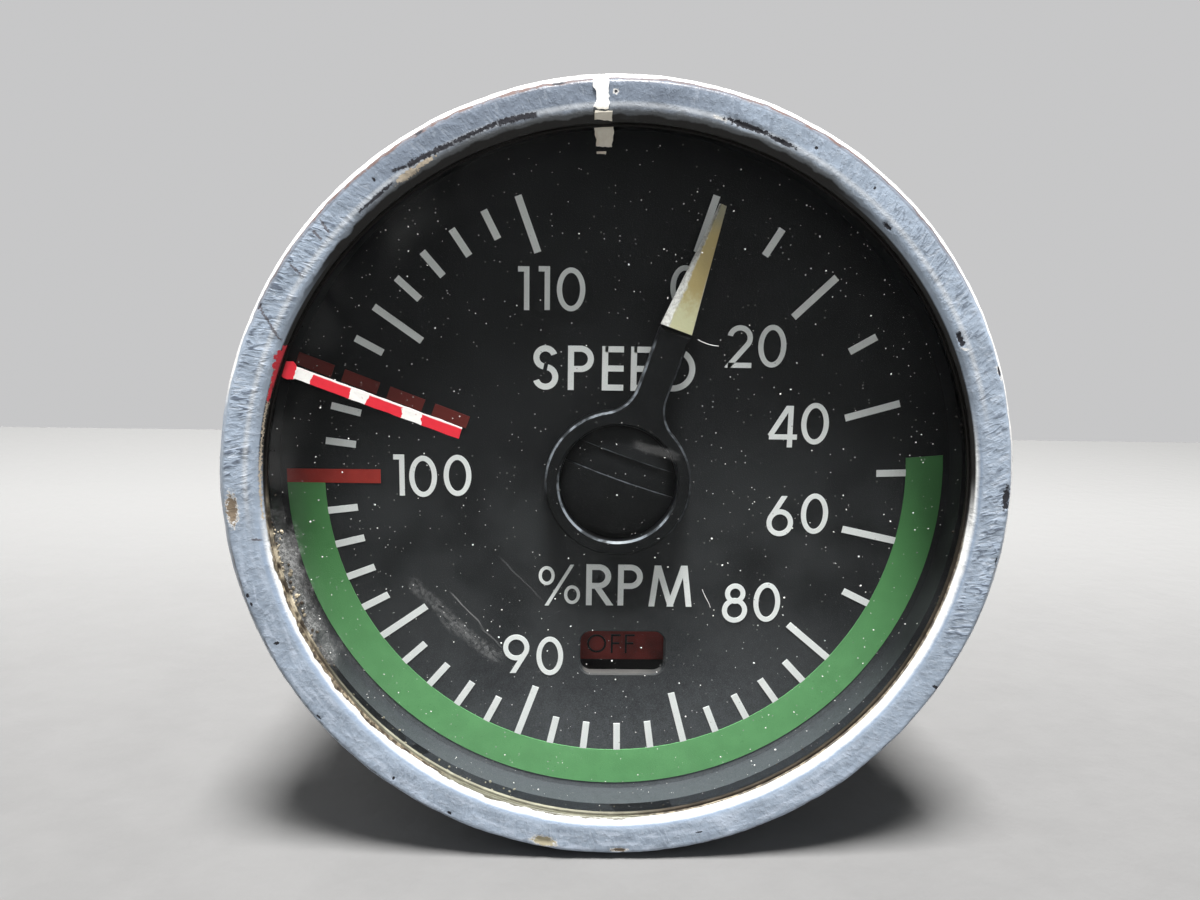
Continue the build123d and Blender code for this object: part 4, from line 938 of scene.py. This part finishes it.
NUMERAL_HEIGHT, WORD_HEIGHT, FLAG_HEIGHT = 3.02, 3.15, 1.5
numerals = written("dial_numerals", (
    ("1", -6.78, 13.55), ("1", -5.34, 13.58), ("0", -3.49, 13.52), ("0", 4.48, 13.81),
    ("2", 8.54, 9.72), ("0", 10.86, 9.78), ("4", 11.93, 4.02), ("0", 14.23, 4.26),
    ("6", 12.03, -2.62), ("0", 14.56, -2.41), ("8", 8.97, -9.32), ("0", 11.36, -9.23),
    ("9", -7.3, -13.44), ("0", -4.79, -13.59), ("1", -15.74, 0.11), ("0", -14.04, 0.03), ("0", -11.56, 0.13),
), NUMERAL_HEIGHT, dial_y)
finished(numerals, "white_print")
words = written("dial_words", (
    ("S", -5.25, 8.03), ("P", -2.75, 8.03), ("E", -0.45, 8.03), ("E", 1.6, 8.03), ("D", 4.1, 8.03),
    ("%", -4.12, -8.05), ("R", -1.23, -8.0), ("P", 1.12, -8.0), ("M", 4.13, -8.05),
), WORD_HEIGHT, dial_y)
finished(words, "white_print")

flag_letters = (("O", -1.26, -13.05), ("F", 0.2, -13.05), ("F", 1.27, -13.05))
off_word = written("flag_word", flag_letters, FLAG_HEIGHT, flag_y)
finished(off_word, "black_paint", body="flag_group")
for stencil in stencils.values():
    bpy.data.objects.remove(stencil)
print("numerals in mm:", [round(v / MM, 1) for v in numerals.dimensions])

# %% [markdown]
# ## The bezel, with its paint uneven
# The CAD bezel is a clean turned ring. On the real one a thick coat has flowed and been knocked about, so
# its edge isn't a true circle any more. The ring is turned again from the same profile: a row of points is
# bevelled, subdivided and spun round the instrument's axis. It stands in for the CAD bezel, which stays in
# the physics.

# %% Turn the bezel
bezel_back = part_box("bezel")[1].y / MM
bezel_front = bezel_y / MM
OUTER, INNER, BORE = 27.0, 23.85, 26.23
BEHIND_GLASS = bezel_front + 0.65
SPIN_STEPS = 720
PROFILE = ((BORE, bezel_back), (OUTER, bezel_back), (OUTER, bezel_front + 1.0), (OUTER - 0.6, bezel_front),
           (INNER + 0.6, bezel_front), (INNER, bezel_front + 0.4), (INNER, BEHIND_GLASS),
           (BORE, BEHIND_GLASS))
bpy.ops.mesh.primitive_circle_add(vertices=len(PROFILE), radius=1)
ring = bpy.context.object
for vertex, (x, y) in zip(ring.data.vertices, PROFILE):
    vertex.co = (x * MM, y * MM, 0)
edit()
bpy.ops.mesh.bevel(offset=0.16 * MM, segments=3, affect="VERTICES")
leave()


def long_edges(mesh, reach):
    """Selects the profile's longer front edges, to divide them finely enough for chips."""
    for edge in mesh.edges:
        a, b = (mesh.vertices[k].co for k in edge.vertices)
        edge.select = (a - b).length > reach and max(a.y, b.y) < (bezel_front + 3.0) * MM
    for vertex in mesh.vertices:
        vertex.select = False


for reach in (1.2, 0.6, 0.3):
    bpy.ops.object.mode_set(mode="EDIT")
    bpy.ops.mesh.select_mode(type="EDGE")
    bpy.ops.mesh.select_all(action="DESELECT")
    leave()
    long_edges(ring.data, reach * MM)
    bpy.ops.object.mode_set(mode="EDIT")
    bpy.ops.mesh.subdivide(number_cuts=1)
bpy.ops.mesh.select_mode(type="VERT")
select_all()
bpy.ops.mesh.spin(steps=SPIN_STEPS, angle=2 * math.pi, center=(0, 0, 0), axis=(0, 1, 0))
select_all()
bpy.ops.mesh.remove_doubles(threshold=0.002 * MM)
bpy.ops.mesh.normals_make_consistent(inside=False)
leave()
print("bezel ring:", len(ring.data.vertices), "vertices")

# %% [markdown]
# The thick coat is laid with two displace modifiers, one for its waves and one for its grain. The chips
# of the paint's recipe are then pressed in, so that they have an edge which catches the light.

# %% Uneven paint and chips
def uneven(thing, name, size, depth):
    """Displaces a surface by cloudy noise with blobs of one size, by a depth in millimetres."""
    clouds = bpy.data.textures.new(name, "CLOUDS")
    clouds.noise_scale = size * MM
    tool_on(thing)
    layer = thing.modifiers.new(name, "DISPLACE")
    layer.texture, layer.texture_coords, layer.strength = clouds, "LOCAL", depth * MM
    layer.mid_level = 0.6
    bpy.ops.object.modifier_apply(modifier=layer.name)


def press_chips(thing, places, depth):
    """Moves the vertices inside each chip back, under the paint."""
    normals = [vertex.normal.copy() for vertex in thing.data.vertices]
    for vertex, normal in zip(thing.data.vertices, normals):
        if vertex.co.y > (bezel_front + 2.0) * MM:
            continue
        turn = math.degrees(math.atan2(vertex.co.x, vertex.co.z)) % 360
        distance = math.hypot(vertex.co.x, vertex.co.z) / MM
        for chip_turn, chip_distance, half_length, half_height in places:
            gap = math.hypot((turn - chip_turn) * ONE_DEGREE / half_length,
                             (distance - chip_distance) / half_height)
            if gap < 1:
                vertex.co -= normal * depth * MM * min(1.0, 2.5 * (1 - gap))


uneven(ring, "paint waves", 2.6, 0.10)
uneven(ring, "paint grain", 0.7, 0.05)
press_chips(ring, DARK_CHIPS + BROWN_CHIPS, 0.1)
tool_on(ring)
bpy.ops.object.shade_smooth_by_angle(angle=math.radians(38))
ring.name = "painted_bezel"
finished(ring, "bezel_paint")
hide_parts("bezel")

# %% [markdown]
# ## Tape and slip mark with torn edges
# The CAD has both as plain rectangles. Real tape is cut by hand, and the slip mark is a few dabs from a
# brush on the glass and the bezel. So each is made again from finely divided sheets whose borders are
# shifted by noise, then given the same thickness. The dabs on the bezel follow its two chamfers.

# %% Tape and dabs
ON_BEZEL = bezel_y - 0.02 * MM
TAPE_END = 0.35     # how much of the strip's outer end is left off
# Each dab: its width, height and place, the surface that it lies on, its seed and how ragged it is.
DABS = ((1.08, 1.25, -1.47, 23.17, glass_y, 1.0, 0.14), (0.6, 0.14, -1.6, 22.12, glass_y, 2.0, 0.05),
        (0.84, 2.3, -1.64, 25.75, ON_BEZEL, 5.0, 0.22), (1.06, 0.5, -1.5, 24.22, ON_BEZEL, 8.0, 0.1))


def sheet(width, height, cells_x, cells_z):
    """A flat grid in the XZ plane, centred on the origin, in millimetres."""
    bpy.ops.mesh.primitive_grid_add(x_subdivisions=cells_x, y_subdivisions=cells_z, size=1,
                                    rotation=(UPRIGHT, 0, 0))
    piece = bpy.context.object
    piece.scale = (width * MM, height * MM, 1)
    settle()
    return piece


# Without a seed of its own, this noise would follow the clock.
cloud_noise.seed_set(7)


def tear(piece, amount, size, seed):
    """Shifts every point by noise, so that the border becomes ragged."""
    for vertex in piece.data.vertices:
        where = vertex.co / (size * MM) + Vector((seed, seed * 1.7, seed * 2.3))
        shift = cloud_noise.noise_vector(where) + cloud_noise.noise_vector(where * 2.7) * 0.5
        vertex.co.x += shift.x * amount * MM
        vertex.co.z += shift.z * amount * MM


def placed(piece, x, z, turn, surface):
    """Turns a sheet clockwise, as the reader sees it, and moves it to its place."""
    turned = Matrix.Rotation(math.radians(turn), 4, "Y")
    piece.data.transform(Matrix.Translation((x * MM, surface, z * MM)) @ turned)


tape = sheet(TAPE_WIDTH, TAPE_OUTER - TAPE_INNER - TAPE_END, 4, 90)
tear(tape, 0.035, 1.1, 3.0)
middle = (TAPE_INNER + TAPE_OUTER - TAPE_END) / 2
placed(tape, TAPE_SINE * middle, TAPE_COSINE * middle, TAPE_ANGLE, glass_y)

# The strip's outer end is a round blob.
BLOB_RADIUS, BLOB_PLACE = 0.6 * MM, 23.4
blob = sheet(1.15, 1.05, 14, 14)
for vertex in blob.data.vertices:
    vertex.co *= BLOB_RADIUS / max(BLOB_RADIUS, vertex.co.length)
tear(blob, 0.12, 0.5, 9.0)
placed(blob, TAPE_SINE * BLOB_PLACE, TAPE_COSINE * BLOB_PLACE, TAPE_ANGLE, glass_y - 0.02 * MM)
for piece in (tape, blob):
    thicken(piece, 0.09 * MM)
tape = joined([tape, blob], "limit_tape")
finished(tape, "stripe_paint")
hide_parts("limit_stripe")

dabs = []
for width, height, x, z, surface, seed, amount in DABS:
    dab = sheet(width, height, 12, 20)
    tear(dab, amount, 0.7, seed)
    placed(dab, x, z, 0, surface)
    for vertex in dab.data.vertices:
        distance = math.hypot(vertex.co.x, vertex.co.z) / MM
        if surface < glass_y:
            vertex.co.y += (max(0.0, distance - 26.35) * 1.67 + max(0.0, 24.45 - distance) * 0.66) * MM
    thicken(dab, INK * 1.4)
    dabs.append(dab)
slip_mark = joined(dabs, "slip_mark")
finished(slip_mark, "index_paint")
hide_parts("index_mark")

# %% [markdown]
# ## Dust and fibres
# Photographed this close, dust on the glass is a scatter of tiny pale grains, thickest low down, at the
# left and near the rim, with crumbs of old sealant along the edge. One grain is a small icosphere; the
# others are copies of it, each with its own mesh, size and turn. The random numbers have a fixed seed, so
# that the same grains fall in the same places every time.

# %% Scatter the dust
random.seed(7)
GRAINS, DUSTY_RADIUS, GLASS_EDGE = 820, 23.4, 23.82
# The crumbs: the first and the last angle, how many there are and how big the biggest is.
CRUMBS = ((196, 246, 60, 0.12), (246, 265, 70, 0.17), (262, 300, 26, 0.08), (76, 81, 8, 0.14),
          (90, 190, 44, 0.08))
bpy.ops.mesh.primitive_ico_sphere_add(subdivisions=1, radius=1)
grain = bpy.context.object


def grain_at(x, z, size, flat):
    """One copy of the grain, flattened on the glass."""
    copy = copy_of(grain)
    wide, high = random.uniform(0.7, 1.4), random.uniform(0.6, 1.2)
    copy.scale = (size * wide * MM, size * flat * MM, size * high * MM)
    copy.rotation_euler = (0, random.uniform(0, math.pi), 0)
    copy.location = (x * MM, glass_y, z * MM)
    return copy


pale_dust = Finish("pale dust", 0.8)
pale_dust.dress(pale_dust.shade((0.84, 0.83, 0.80), 0.12, 0.3))
grains = []
while len(grains) < GRAINS:
    turn, distance = random.uniform(0, 2 * math.pi), DUSTY_RADIUS * math.sqrt(random.random())
    x, z = math.sin(turn) * distance, math.cos(turn) * distance
    likely = 0.35 + 0.25 * (z < 0) + 0.3 * (distance > 20) + 0.25 * (x < -15)
    if random.random() < likely:
        grains.append(grain_at(x, z, 0.019 + 0.045 * random.random() ** 4, 0.8))
dust_grains = joined(grains, "glass_dust")
finished(dust_grains, "index_paint", finish=pale_dust)

crumbs = []
for start, end, count, biggest in CRUMBS:
    for _ in range(count):
        turn = math.radians(random.uniform(start, end))
        distance = GLASS_EDGE - 0.7 * random.random() ** 3
        crumbs.append(grain_at(math.sin(turn) * distance, math.cos(turn) * distance,
                               biggest * random.uniform(0.25, 1.0), 0.7))
sealant_crumbs = joined(crumbs, "sealant_crumbs")
finished(sealant_crumbs, "sealant")
bpy.data.objects.remove(grain)
print("grains and crumbs:", len(dust_grains.data.polygons), len(sealant_crumbs.data.polygons))

# %% [markdown]
# Two pale fibres lie among the grains. Each is a curve through five points with a round section, turned
# into a mesh.

# %% Fibres
HAIR = 0.022 * MM


def fibre(*points):
    """A thin curved hair lying on the glass."""
    bpy.ops.curve.primitive_nurbs_path_add()
    hair = bpy.context.object
    spline = hair.data.splines[0]
    for point, (x, z) in zip(spline.points, points):
        point.co = (x * MM, glass_y - HAIR, z * MM, 1)
    hair.data.bevel_depth = HAIR
    hair.data.bevel_resolution = 1
    hair.data.resolution_u = 6
    hair.data.use_fill_caps = True
    bpy.ops.object.convert(target="MESH")
    return bpy.context.object


hairs = [fibre((5.0, 10.35), (5.25, 10.2), (5.6, 10.05), (6.0, 9.95), (6.4, 9.94)),
         fibre((5.9, -6.9), (6.05, -7.3), (6.2, -7.6), (6.4, -7.8), (6.5, -8.2))]
finished(joined(hairs, "glass_fibres"), "index_paint", finish=pale_dust)

# %% [markdown]
# ## The floor, the light and the camera
# The instrument stands on a pale floor, which ends behind it. The grey of the world stands beyond it as a
# plain backdrop.

# %% Floor
FLOOR_WIDTH, FLOOR_FRONT, FLOOR_BACK = 2.4, -1.2, 0.2
bpy.ops.mesh.primitive_plane_add(size=1, location=(0, (FLOOR_FRONT + FLOOR_BACK) / 2, floor_z))
floor = bpy.context.object
floor.name = "floor"
floor.scale = (FLOOR_WIDTH, FLOOR_BACK - FLOOR_FRONT, 1)
settle()
cloth = Finish("pale floor", 0.9, shine=0.1)
far = cloth.deep.ramp(-0.02, 0.12)
cloth.dress(cloth.shade((0.18, 0.178, 0.175), 0.03, 6.0).under((far, (0.325, 0.322, 0.316))))
cloth.grain(2.5, 0.2, 3.0)
floor.data.materials.append(cloth.material)

# %% [markdown]
# Soft light comes mostly from above, as in a room with a large window: the bezel's upper lip shades the
# top of the dial. The world gives a little light from all round. The camera, and rays that are mirrored or
# pass through glass, see it in a brighter plain grey instead.

# %% Light
def lamp(name, place, size, power, aim=(0, 0, 0)):
    """A square soft box that looks at a point."""
    light = bpy.data.lights.new(name, "AREA")
    light.size, light.energy = size, power
    box = bpy.data.objects.new(name, light)
    bpy.context.collection.objects.link(box)
    box.location = place
    box.rotation_euler = (Vector(aim) - Vector(place)).to_track_quat("-Z", "Y").to_euler()
    box.visible_camera = False
    return box


lamp("window light", (0.010, -0.117, 0.48), 0.14, 7.8)
lamp("room light", (0.35, -0.35, 0.10), 0.5, 0.25)
lamp("rear light", (-0.25, 0.45, 0.35), 0.5, 1.2, (0, 0.06, 0))

world = bpy.data.worlds.new("pale room")
bpy.context.scene.world = world
sky = Tree(world)
seen = greatest(sky.add("ShaderNodeLightPath", {}, ("Is Camera Ray", "Is Glossy Ray", "Is Transmission Ray")))
lighting = sky.add("ShaderNodeBackground", {0: (0.92, 0.96, 1.0), 1: 0.22})
shown = sky.add("ShaderNodeBackground", {0: (0.57, 0.57, 0.575), 1: 1.0})
sky.end("ShaderNodeOutputWorld", sky.add("ShaderNodeMixShader", {0: seen, 1: lighting, 2: shown}))
bpy.context.scene.view_settings.view_transform = "Standard"

# %% [markdown]
# The camera stands where the photographer's did: close, a little above the dial's centre and a little to
# its left, tilted down. Its axes are worked out from the turn, the tilt and the roll, so that no
# convention has to be guessed.

# %% Camera
CAMERA_PLACE = Vector((-2.71, -65.44, 12.89)) * MM
TURN, TILT, ROLL = math.radians(1.28), math.radians(-9.52), math.radians(0.95)
ahead = Vector((math.sin(TURN) * math.cos(TILT), math.cos(TURN) * math.cos(TILT), math.sin(TILT)))
level = Vector((math.cos(TURN), -math.sin(TURN), 0))
upright = level.cross(ahead)
right = level * math.cos(ROLL) + upright * math.sin(ROLL)
top = upright * math.cos(ROLL) - level * math.sin(ROLL)
lens = bpy.data.cameras.new("camera")
lens.sensor_width, lens.lens = 36.0, 27.0
lens.clip_start, lens.clip_end = 0.005, 20.0
camera = bpy.data.objects.new("camera", lens)
bpy.context.collection.objects.link(camera)
camera.matrix_world = Matrix.Translation(CAMERA_PLACE) @ Matrix((right, top, -ahead)).transposed().to_4x4()
bpy.context.scene.camera = camera
